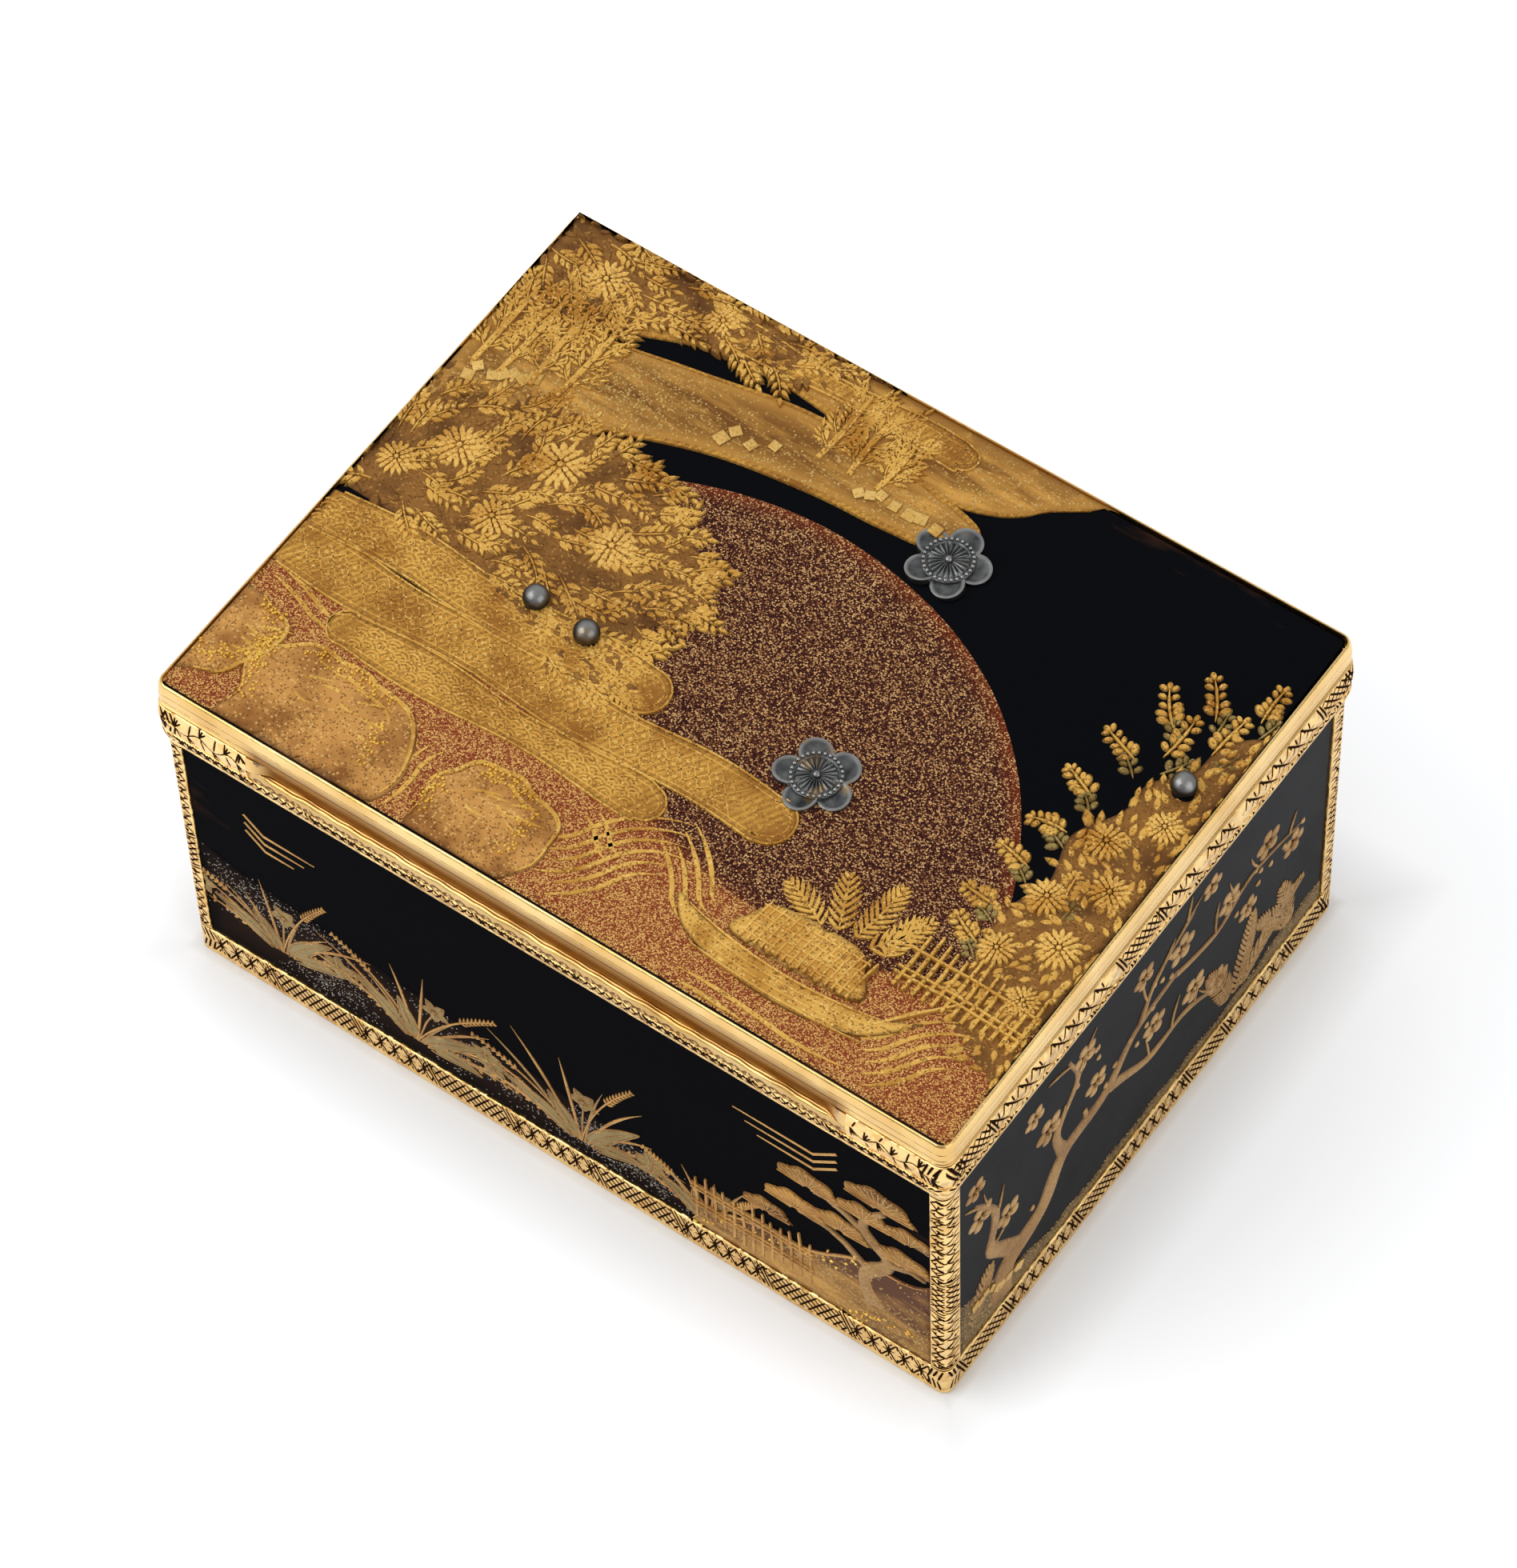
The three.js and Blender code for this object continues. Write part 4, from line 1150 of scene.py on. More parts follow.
def addHinge():
    near, far, length = hinge["lugNear"], hinge["lugFar"], knuckleLength()
    shapes = {"body": makeKnuckle(-far, -near), "lid": makeKnuckle(near, far)}
    for k in range(hinge["count"]):
        body = "lid" if k % 2 else "body"
        x = -hinge["reach"] + length / 2 + k * (length + hinge["gap"])
        piece = copyMoved(shapes[body], Matrix.Translation((x * mm, 0, 0)))
        name = f"{body}_knuckle_{k // 2 + 1}"
        finishPiece(piece, name + "_turned", body, "polishedGold", [name], 35)
    for shape in shapes.values():
        bpy.data.objects.remove(shape)
    ends = [corner[0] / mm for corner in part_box("hinge_pin")]
    pin = newPrimitive("cylinder", (sum(ends) / 2, hinge["y"], hinge["z"]), turn=(0, math.pi / 2, 0), vertices=40,
        radius=hinge["pin"], depth=ends[1] - ends[0])
    softEdges(pin, 0.15, 4)
    finishPiece(pin, "hinge_pin_wire", "body", "steel", ["hinge_pin"], 50)


addHinge()
print("hinge ready")


# Raised lacquer work: each layer gathers plates, blobs and lines drawn on one face of the box
faces = {  # drawing plane: where (across, up, out) lies on the box
    "lid": lambda u, v, h: (u, v, lidPanelTop + h),
    "front": lambda u, v, h: (u, wallOut - halfWidth - h, v),
    "right": lambda u, v, h: (halfLength - wallOut + h, u, v),
    "back": lambda u, v, h: (-u, halfWidth - wallOut + h, v),
    "left": lambda u, v, h: (wallOut - halfLength - h, -u, v),
}
longLimits, shortLimits = ((-38.25, 3.85), (38.25, 32.9)), ((-27.85, 3.85), (27.85, 32.9))
faceLimits = {"lid": ((-39.78, -29.56), (39.78, 29.78)), "front": longLimits, "back": longLimits,
        "right": shortLimits, "left": shortLimits}


def heading(angle):
    return np.array([math.cos(angle), math.sin(angle)])


def turned(points, angle):
    return points @ np.array([heading(angle), [-math.sin(angle), math.cos(angle)]])


def startAtGap(path):  # turns a broken ring so that it starts after its widest gap
    return np.roll(path, -int(np.argmax(np.hypot(*(path - np.roll(path, 1, 0)).T))), 0)


def newLayer(face, name, finish):
    return {"face": face, "name": name, "finish": finish, "points": [], "faces": [], "rim": [], "dense": [],
            "count": 0}


def gather(layer, points, polygons, rim, dense=0.0):
    layer["points"].append(points)
    layer["faces"] += [[layer["count"] + k for k in polygon] for polygon in polygons]
    layer["rim"].append(rim)
    layer["dense"].append(np.broadcast_to(dense, len(points)))
    layer["count"] += len(points)


def curveThrough(points, closed=True, per=8):
    points = np.array(points, float)
    count = len(points)
    spans = count if closed else count - 1
    made = []
    for k in range(spans):
        near = [points[(k + d) % count] if closed else points[min(max(k + d, 0), count - 1)]
            for d in (-1, 0, 1, 2)]
        for t in np.arange(per) / per:
            made.append(0.5 * (2 * near[1] + (near[2] - near[0]) * t + (2 * near[0] - 5 * near[1]
                + 4 * near[2] - near[3]) * t ** 2 + (3 * near[1] - near[0] - 3 * near[2] + near[3]) * t ** 3))
    if not closed:
        made.append(points[-1])
    return np.array(made)


def keepOnFace(outline, face):
    outline = np.clip(outline, *faceLimits[face])
    apart = np.hypot(*(outline - np.roll(outline, 1, 0)).T) > 0.03
    return outline[apart]


def edgeDistance(points, outline):
    a, b = outline, np.roll(outline, -1, 0)
    d = b - a
    best = np.full(len(points), 1e9)
    for k in range(0, len(a), 64):
        aa, dd = a[k:k + 64], d[k:k + 64]
        rel = points[:, None] - aa[None]
        share = np.clip((rel * dd).sum(-1) / ((dd * dd).sum(-1) + 1e-12), 0, 1)
        best = np.minimum(best, np.hypot(*(rel - share[..., None] * dd).transpose(2, 0, 1)).min(1))
    return best


def insideOf(points, outline):
    x, y = points[:, 0:1], points[:, 1:2]
    x0, y0 = outline[:, 0][None], outline[:, 1][None]
    x1, y1 = np.roll(outline[:, 0], -1)[None], np.roll(outline[:, 1], -1)[None]
    crosses = ((y0 > y) != (y1 > y)) & (x < (x1 - x0) * (y - y0) / (y1 - y0 + 1e-12) + x0)
    return crosses.sum(1) % 2 == 1


def staggered(outline, pitch):  # rows of places over an outline's box, every second row shifted
    low, high = outline.min(0), outline.max(0)
    return np.array([(u + (pitch / 2 if j % 2 else 0), v) for j, v in enumerate(np.arange(low[1], high[1],
        pitch * 0.87)) for u in np.arange(low[0], high[0], pitch)]).reshape(-1, 2)


def addPlate(layer, outline, thick, slope=0.3, grain=0.8, base=0.0, puff=0.0, puffReach=2.0, rimWidth=0.25,
        denseReach=0.0, ripple=None):
    # a raised area: crisp outline, rounded edge, softly swelling top
    outline = keepOnFace(np.asarray(outline, float), layer["face"])
    if np.sum(outline[:, 0] * np.roll(outline[:, 1], -1) - np.roll(outline[:, 0], -1) * outline[:, 1]) < 0:
        outline = outline[::-1]
    grid = staggered(outline, grain)
    grid = grid + chance.uniform(-0.12, 0.12, grid.shape) * grain
    tangent = np.roll(outline, -1, 0) - np.roll(outline, 1, 0)
    inward = np.column_stack([-tangent[:, 1], tangent[:, 0]]) / (np.hypot(*tangent.T)[:, None] + 1e-9)
    rings = [(outline + inward * slope * share, slope * share * 0.8) for share in (0.3, 1.0)]
    inner = [ring[insideOf(ring, outline) & (edgeDistance(ring, outline) > least)] for ring, least in rings]
    grid = grid[insideOf(grid, outline)]
    if len(grid):
        grid = grid[edgeDistance(grid, outline) > slope + grain * 0.4]
    flat = np.concatenate([outline] + inner + [grid])
    count = len(outline)
    edges = [(k, (k + 1) % count) for k in range(count)]
    verts, _, tris, *_ = delaunay_2d_cdt([Vector(p) for p in flat], edges, [], 1, 1e-5)
    flat = np.array([(p.x, p.y) for p in verts])
    gap = edgeDistance(flat, outline)
    share = np.clip(gap / slope, 0, 1)
    height = base + thick * np.sqrt(1 - (1 - share) ** 2) + puff * (1 - np.exp(-gap / puffReach))
    if ripple is not None:
        height = height + ripple(flat, gap) * share
    height[gap < 1e-4] = 0
    size = len(flat)
    under = np.column_stack([flat, np.full(size, -0.03)])
    polygons = [list(t) for t in tris]
    polygons += [[size + k for k in reversed(t)] for t in tris]
    links = dict.fromkeys((t[k], t[(k + 1) % 3]) for t in tris for k in range(3))
    polygons += [[b, a, size + a, size + b] for a, b in links if (b, a) not in links]
    # rim is nearness to the outline: the raised-gold and hill finishes darken it as painted shade, the sprinkled
    # grounds give it their edge colour
    rim = np.clip(1 - gap / rimWidth, 0, 1)
    dense = np.exp(-gap / denseReach) if denseReach else np.zeros(size)
    gather(layer, np.concatenate([np.column_stack([flat, height]), under]), polygons, np.tile(rim, 2),
        np.tile(dense, 2))


def addBlob(layer, centre, angle, length, width, thick, kind="oval", base=0.0, sides=10):
    # a small dome with a few faces: petal, leaf, berry or nugget. It starts at centre for leaves and petals
    t = np.linspace(0, 2 * math.pi, sides, endpoint=False)
    if kind == "oval":
        shape = np.column_stack([0.5 * length * np.cos(t), 0.5 * width * np.sin(t)])
        heart = np.array([0.0, 0.0])
    else:
        share = (1 + np.cos(t)) / 2
        spread = np.sin(math.pi * share ** (0.75 if kind == "leaf" else 1.5)) ** (0.9 if kind == "leaf" else 0.7)
        shape = np.column_stack([length * share, 0.5 * width * spread * np.sign(np.sin(t))])
        heart = np.array([length * 0.45, 0.0])
    middle = heart + (shape - heart) * 0.58
    flat = turned(np.concatenate([shape, middle, heart[None]]), angle) + np.asarray(centre, float)
    heights = np.concatenate([np.full(sides, -0.02), np.full(sides, base + thick * 0.8), [base + thick]])
    polygons = []
    for k in range(sides):
        n = (k + 1) % sides
        polygons += [[k, n, sides + n, sides + k], [sides + k, sides + n, 2 * sides]]
    polygons.append(list(reversed(range(sides))))
    rim = np.concatenate([np.ones(sides), np.zeros(sides + 1)])
    gather(layer, np.column_stack([flat, heights]), polygons, rim)


def addLine(layer, path, width, thick, base=0.0, taper=(0.3, 0.1)):
    # a raised line with a ridged section, thinner towards its ends
    path = np.asarray(path, float)
    low, high = np.array(faceLimits[layer["face"]])
    inside = np.all((path > low + width / 2) & (path < high - width / 2), axis=1)
    for run in np.split(np.arange(len(path)), np.where(~inside)[0]):
        run = run[inside[run]]
        if len(run) < 2:
            continue
        line = path[run]
        side = sideways(line)
        share = np.linspace(0, 1, len(line))
        first, last = (least + (1 - least) * part for least, part in zip(taper, (share / 0.25,
            (1 - share) / 0.35)))
        grow = np.minimum(1, first) * np.minimum(1, last)
        half = (width / 2 * grow)[:, None]
        n, top = len(line), base + thick * (0.4 + 0.6 * grow)
        rows = [np.column_stack([line + side * half * share, height]) for share, height in (
            (-1, np.full(n, -0.02)), (-0.68, top), (0.68, top), (1, np.full(n, -0.02)))]
        polygons = [[a * n + k, a * n + k + 1, b * n + k + 1, b * n + k] for k in range(n - 1) for a,
            b in ((0, 1), (1, 2), (2, 3), (3, 0))]
        polygons += [[0, n, 2 * n, 3 * n], [4 * n - 1, 3 * n - 1, 2 * n - 1, n - 1]]
        rim = np.concatenate([np.full(n, 0.7), np.zeros(2 * n), np.full(n, 0.7)])
        gather(layer, np.concatenate(rows), polygons, rim)


def addSquare(layer, centre, size, angle, thick, base=0.0):
    # a square cut from gold leaf, laid a little unevenly
    corners = np.array([(-1, -1), (1, -1), (1, 1), (-1, 1)]) * size / 2
    tilt = chance.uniform(-0.03, 0.03, 4)
    rings = [(1.0, -0.02), (1.0, base + thick * 0.6), (0.86, base + thick)]
    points = [np.column_stack([turned(corners * s, angle) + centre, h + tilt * (h > 0)]) for s, h in rings]
    polygons = [[3, 2, 1, 0], [8, 9, 10, 11]]
    for r in (0, 4):
        polygons += [[r + k, r + (k + 1) % 4, r + 4 + (k + 1) % 4, r + 4 + k] for k in range(4)]
    gather(layer, np.concatenate(points), polygons, np.concatenate([np.full(8, 0.7), np.zeros(4)]))


def finishLayers(*layers):
    for layer in layers:
        face, name = layer["face"], layer["name"]
        points = np.concatenate(layer["points"])
        points[:, :2] = np.clip(points[:, :2], *faceLimits[face])
        placed = np.column_stack(np.broadcast_arrays(*faces[face](*points.T))) * mm
        mesh = bpy.data.meshes.new(name)
        mesh.from_pydata(placed.tolist(), [], layer["faces"])
        for key in ("rim", "dense"):
            values = np.concatenate(layer[key]).astype(np.float32)
            mesh.attributes.new(key, "FLOAT", "POINT").data.foreach_set("value", values)
        piece = bpy.data.objects.new(name, mesh)
        bpy.context.scene.collection.objects.link(piece)
        body, slot = ("lid", "gold_lacquer") if face == "lid" else ("body", "black_lacquer")
        finishPiece(piece, name, body, layer["finish"], (), 35)


# Motifs: generic plants, hills, mist and water in the lacquerers' common manner
def pointOn(path, share):
    return path[min(len(path) - 1, int(share * (len(path) - 1)))]


def stemPath(start, angle, length, curl, steps=24):
    turns = angle + curl * np.linspace(0, 1, steps)
    moves = np.column_stack([np.cos(turns), np.sin(turns)]) * length / (steps - 1)
    return np.asarray(start, float) + np.concatenate([[[0, 0]], np.cumsum(moves, 0)[:-1]])


def addSpray(layer, start, angle, length, pairs, size, curl=0.4, thick=0.14, base=0.06, kind="leaf", stem=0.2,
        lean=0.75, wide=0.4, sides=10):
    # a stem with leaves in pairs and one at its tip
    path = stemPath(start, angle, length, curl)
    addLine(layer, path, stem, thick * 0.8, base)
    for k in range(pairs):
        share = (k + 0.8) / (pairs + 0.4)
        turn = angle + curl * share
        for side in (-1, 1):
            reach = size * (1.1 - 0.45 * share) * chance.uniform(0.85, 1.15)
            way, off = turn + side * lean * chance.uniform(0.8, 1.15), 0.62 * reach * (kind == "oval")
            addBlob(layer, pointOn(path, share) + off * heading(way), way, reach, reach * wide,
                thick * chance.uniform(0.8, 1.1), kind, base, sides)
    addBlob(layer, path[-1], angle + curl, size * 0.8, size * 0.8 * wide, thick, kind, base, sides)


def addFrond(layer, start, angle, length, size, curl=0.5, thick=0.1, base=0.04, gap=0.62):
    # a long feathered leaf of narrow leaflets
    path = stemPath(start, angle, length, curl, 32)
    addLine(layer, path, 0.3, thick, base)
    count = int(length / gap)
    for k in range(count):
        share = (k + 0.5) / count
        turn = angle + curl * share
        reach = size * math.sin(math.pi * min(1, 0.18 + 0.8 * share)) ** 0.6
        for side in (-1, 1):
            tip = turn + side * (1.0 - 0.35 * share)
            addLine(layer, stemPath(pointOn(path, share), tip, reach, -side * 0.35, 6), 0.42, thick, base,
                (0.9, 0.15))


def addBranch(layer, points, widths, thick, base, knots=0.14):
    # old wood: swells at its knots and narrows to the tip
    line = curveThrough(points, False, 7)
    share = np.linspace(0, 1, len(line))
    half = 0.5 * np.interp(share, np.linspace(0, 1, len(widths)), widths)
    normal = sideways(line)
    sway = chance.uniform(0, 6.3, 2)
    left = line + normal * (half * (1 + knots * np.sin(share * 23 + sway[0])))[:, None]
    right = line - normal * (half * (1 + knots * np.sin(share * 19 + sway[1])))[:, None]
    addPlate(layer, np.concatenate([left, right[::-1]]), thick, 0.32 * float(np.max(widths)), 0.45, base, 0.05,
        1.0, 0.2, 0, lambda flat, gap: 0.03 * np.sin(flat[:, 0] * 5.1) * np.sin(flat[:, 1] * 4.3))
    return line


def addFlowerHead(layer, centre, radius, petals=16, thick=0.2, base=0.1, turn=0.0):
    # a many-petalled bloom seen from above
    for ring, (share, count) in enumerate(((1.0, petals), (0.7, petals - 4), (0.42, petals - 8))):
        for k in range(count):
            angle = turn + (k + ring * 0.5) * 2 * math.pi / count
            place = np.add(centre, radius * share * 0.2 * heading(angle))
            addBlob(layer, place, angle, radius * share * 0.82, radius * 0.3, thick * (0.7 + 0.25 * ring),
                "petal", base + 0.05 * ring)
    addBlob(layer, centre, 0, radius * 0.3, radius * 0.3, thick, "oval", base + 0.16)


def addPlum(layer, centre, size, turn, thick=0.09, base=0.03):
    # a round-petalled bloom with its stamens
    for k in range(5):
        angle = turn + k * 2 * math.pi / 5
        way = heading(angle)
        addBlob(layer, np.add(centre, way * size * 0.62), angle, size * 0.85, size * 0.8, thick, "oval", base, 12)
        addLine(layer, [np.add(centre, way * size * 0.1), np.add(centre, way * size * 0.6)], 0.13, 0.04,
            base + thick)
    addBlob(layer, centre, 0, size * 0.28, size * 0.28, 0.06, "oval", base + thick, 8)


def addMist(layer, borders, left, right, middle, width, thick, base):
    # a long bank of mist with rounded ends and a fine raised border
    half = width / 2
    edge = faceLimits[layer["face"]][0][0]
    upper = [(u, middle + half + 0.35 * math.sin(u * 0.31 + middle)) for u in np.arange(left, right - half, 2.0)]
    lower = [(u, middle - half + 0.35 * math.sin(u * 0.27 + 2 * middle)) for u in np.arange(right - half, left,
        -2.0)]
    outline = upper + [half * heading(a) + (right - half, middle) for a in np.linspace(1.5, -1.5, 9)] + lower
    if left > edge + 1:
        outline += [half * heading(a) + (left, middle) for a in np.linspace(-1.7, -4.6, 9)]
    outline = curveThrough(outline, True, 3)
    addPlate(layer, outline, thick, 0.45, 0.6, base, 0.05, 1.6, 0.22, 0.8)
    line = outline[outline[:, 0] > edge + 0.5]
    for inset, wide in ((0.0, 0.26), (0.55, 0.18)):
        moved = np.column_stack([line[:, 0] - inset * (line[:, 0] > right - half),
            middle + (line[:, 1] - middle) * (1 - inset / half)])
        addLine(borders, np.concatenate([moved, moved[:1]]) if left > edge + 1 else moved, wide, 0.06,
            base + thick * 0.9, (1, 1))


def scatterLeaves(layer, outline, root, pitch, size, thick, base, kind="leaf", wide=0.42):
    # foliage that fills an outline and points away from its root
    for spot in staggered(outline, pitch):
        place = spot + chance.uniform(-0.3, 0.3, 2) * pitch
        if insideOf(place[None], outline)[0]:
            swirl = 0.9 * math.sin(place[0] * 0.55) * math.cos(place[1] * 0.7)
            angle = math.atan2(place[1] - root[1], place[0] - root[0]) + swirl + chance.uniform(-0.5, 0.5)
            reach = size * chance.uniform(0.75, 1.25)
            addBlob(layer, place, angle, reach, reach * wide, thick * chance.uniform(0.75, 1.2), kind,
                base + chance.uniform(0, 0.08), 8)


def fillSprays(layer, outline, root, pitch, size, base):
    # leafy shoots set over one another, the outer ones lowest
    low, high = outline.min(0), outline.max(0)
    spots = [np.array([u + chance.uniform(-1, 1), v + chance.uniform(-0.8, 0.8)])
        for v in np.arange(low[1], high[1], pitch * 0.8) for u in np.arange(low[0], high[0], pitch)]
    spots = sorted((s for s in spots if insideOf(s[None], outline)[0]), key=lambda s: -math.hypot(*(s - root)))
    for k, place in enumerate(spots):
        angle = math.atan2(place[1] - root[1],
            place[0] - root[0]) + 0.5 * math.sin(place[0] * 0.4) + chance.uniform(-0.4, 0.4)
        addSpray(layer, place, angle, chance.uniform(2.6, 4.2), 4, size, chance.uniform(-0.6, 0.6), 0.13,
            base + 0.1 * k / len(spots), "leaf", 0.2, 0.7, 0.42)


def addSquares(layer, path, count, size, base, spread=0.8):
    for k in range(count):
        place = pointOn(path, (k + 0.5) / count) + chance.uniform(-spread, spread, 2) * 0.6
        addSquare(layer, place, size * chance.uniform(0.85, 1.1), chance.uniform(-0.5, 0.9), 0.12, base)


def addNuggets(layer, path, count, size, base, spread=0.9):
    for k in range(count):
        place = pointOn(path, chance.uniform(0, 1)) + chance.normal(0, spread, 2) * 0.5
        addBlob(layer, place, chance.uniform(0, 3.1), size * chance.uniform(0.6, 1.3),
            size * chance.uniform(0.5, 1.0), 0.13, "oval", base, 6)


lidArt = {
    "night": [(-23, 7), (-14, 12.4), (-3, 14.6), (8, 13.2), (17, 9.4), (24, 3.6), (29, -3.4), (32.5, -11.5),
        (34, -19), (26, -21.5), (12, -20.5), (2, -18), (-8, -13), (-16, -8), (-24, -3)],
    "shore": [(-44, -8), (-30, -10), (-14, -13), (0, -17.0), (12, -19.6), (24, -19.2), (32, -16.5), (44, -17.5),
        (44, -33), (-44, -33)],
    "hills": [
        {"edge": [(-44, 33), (-44, 17), (-36, 18.5), (-28, 22.3), (-20, 25), (-10, 24.6), (-1, 22.5), (6, 23),
        (11, 26), (13, 33)], "base": 0.03},
        {"edge": [(-44, 21), (-44, 6), (-34, 8.5), (-24, 12.5), (-15, 15.6), (-6, 17.0), (1, 17.4), (6, 18.2),
        (8.0, 21.2), (3, 22.6), (-4, 23.4), (-12, 23.4), (-22, 21.6), (-32, 20.0)], "base": 0.09},
    ],
    "bush": [(-44, 8.5), (-36, 9.5), (-28, 11.5), (-20, 10.6), (-13, 8.0), (-8.5, 4.5), (-7.5, 0.5),
        (-9.5, -3.5), (-7.5, -8.0), (-10, -10.2), (-15, -9.4), (-22, -7.0), (-30, -5.0), (-44, -3.4)],
    "corner": [(-44, 33), (-44, 20.5), (-37, 20.2), (-31, 22.0), (-25, 24.2), (-18, 25.0), (-12, 27.0),
        (-9, 33)],
    "rocks": [[(-3, -24), (-5, -21.4), (-9, -20.4), (-13, -21.4), (-15.4, -24.4), (-14.8, -27.4), (-13, -32),
        (-6, -32)],
        [(-17.6, -24.5), (-20.5, -20.8), (-26, -19.0), (-31.6, -19.8), (-35.0, -23.0), (-34.6, -27), (-33, -32),
        (-19, -32)], [(-33.6, -21.5), (-36, -18.4), (-44, -17.2), (-44, -27), (-36.6, -26.4)]],
}


def lidLayers(*kinds):
    return [newLayer("lid", name, finish) for name, finish in kinds]


def addLidGrounds():
    night, shore = lidLayers(("nightGround", "nashiji"), ("shoreGround", "terracotta"))
    addPlate(night, curveThrough(lidArt["night"]), 0.05, 0.25, 0.9, 0, 0.02, 2, 1.6, 0.5)
    addPlate(shore, curveThrough(lidArt["shore"]), 0.07, 0.3, 0.9, 0, 0.03, 2, 0.5)
    hills, rims, squares = lidLayers(("hillGround", "hill"), ("hillRims", "mist"), ("goldSquares", "foil"))
    for hill in lidArt["hills"]:
        outline = curveThrough(hill["edge"])
        addPlate(hills, outline, 0.1, 0.6, 0.8, hill["base"], 0.16, 3.0, 0.3, 1.5)
        shown = keepOnFace(outline, "lid")
        inside = np.all(np.abs(shown) < (39.0, 29.0), axis=1)
        start = int(np.argmin(inside))
        shown, inside = np.roll(shown, -start, 0), np.roll(inside, -start)
        addLine(rims, shown[inside], 0.7, 0.07, hill["base"] + 0.08, (0.5, 0.3))
    for path, count, base in (([(-38.2, 10.6), (-31.5, 13.6)], 7, 0.3), ([(-3.5, 19.2), (5.2, 19.6)], 7, 0.3),
            ([(-16.5, 17.4), (-11.0, 18.8)], 4, 0.3)):
        addSquares(squares, np.linspace(path[0], path[1], 40), count, 1.15, base)
    finishLayers(night, shore, hills, rims, squares)


def addWavePattern(layer, left, right, low, high, base, size=1.25):
    # overlapping scales of three arcs each
    for j, v in enumerate(np.arange(low, high - size * 0.8, size * 0.56)):
        for u in np.arange(left + (size if j % 2 else 0), right, 2 * size):
            for share, start in ((1.0, 0.52), (0.66, 0.34), (0.32, 0.1)):
                turn = np.linspace(start, math.pi - start, 8)
                addLine(layer, np.column_stack([u + size * share * np.cos(turn), v
                    + size * share * np.sin(turn)]), 0.22, 0.06, base, (0.9, 0.9))


def addLattice(layer, left, right, low, high, base, pitch=1.5):
    # crossed slanting lines with a small lozenge in each opening
    tall = high - low
    for u in np.arange(left, right, pitch):
        for way in (-1, 1):
            addLine(layer, [(u, low if way > 0 else high), (u + tall * 0.9, high if way > 0 else low)], 0.2, 0.06,
                base, (0.9, 0.9))
        for k in range(3):
            addSquare(layer, np.array([u + pitch * 0.5 * (k % 2) + tall * 0.45, low
                + tall * (0.5 + 0.278 * (k - 1))]), 0.4, 0.78, 0.06, base)


def addLidMist():
    mist, lines = lidLayers(("mistBanks", "mist"), ("mistLines", "relief"))
    for left, right, middle, width, base in ((-44, -3.5, -7.6, 4.6, 0.16), (-44, 12.5, -12.2, 4.8, 0.12),
            (-30, 2.5, -16.6, 3.6, 0.1), (-22, 4, 27.0, 2.6, 0.2)):
        addMist(mist, lines, left, right, middle, width, 0.1, base)
    addWavePattern(lines, -38.8, -6.5, -9.3, -5.6, 0.26)
    addLattice(lines, -39.2, 5.6, -13.9, -10.6, 0.22)
    addWavePattern(lines, -28.6, 0.0, -17.9, -15.0, 0.2, 1.0)
    finishLayers(mist, lines)


def addStems(leaves, foot, lean, height, base):
    # a jointed stem with leafy shoots
    path = stemPath(foot, math.pi / 2 - lean, height, lean * 1.6)
    addLine(leaves, path, 0.75, 0.22, base, (0.9, 0.4))
    for share in (0.2, 0.36, 0.52, 0.67, 0.8, 0.92):
        place = pointOn(path, share)
        addBlob(leaves, place, 0, 1.05, 0.3, 0.3, "oval", base, 8)
        for side in (-1, 1):
            addSpray(leaves, place, math.pi / 2 - lean - side * chance.uniform(0.7, 1.3),
                chance.uniform(1.6, 3.2), 3, 2.0, side * 0.7, 0.13, base + 0.06, "leaf", 0.18, 0.5, 0.27)


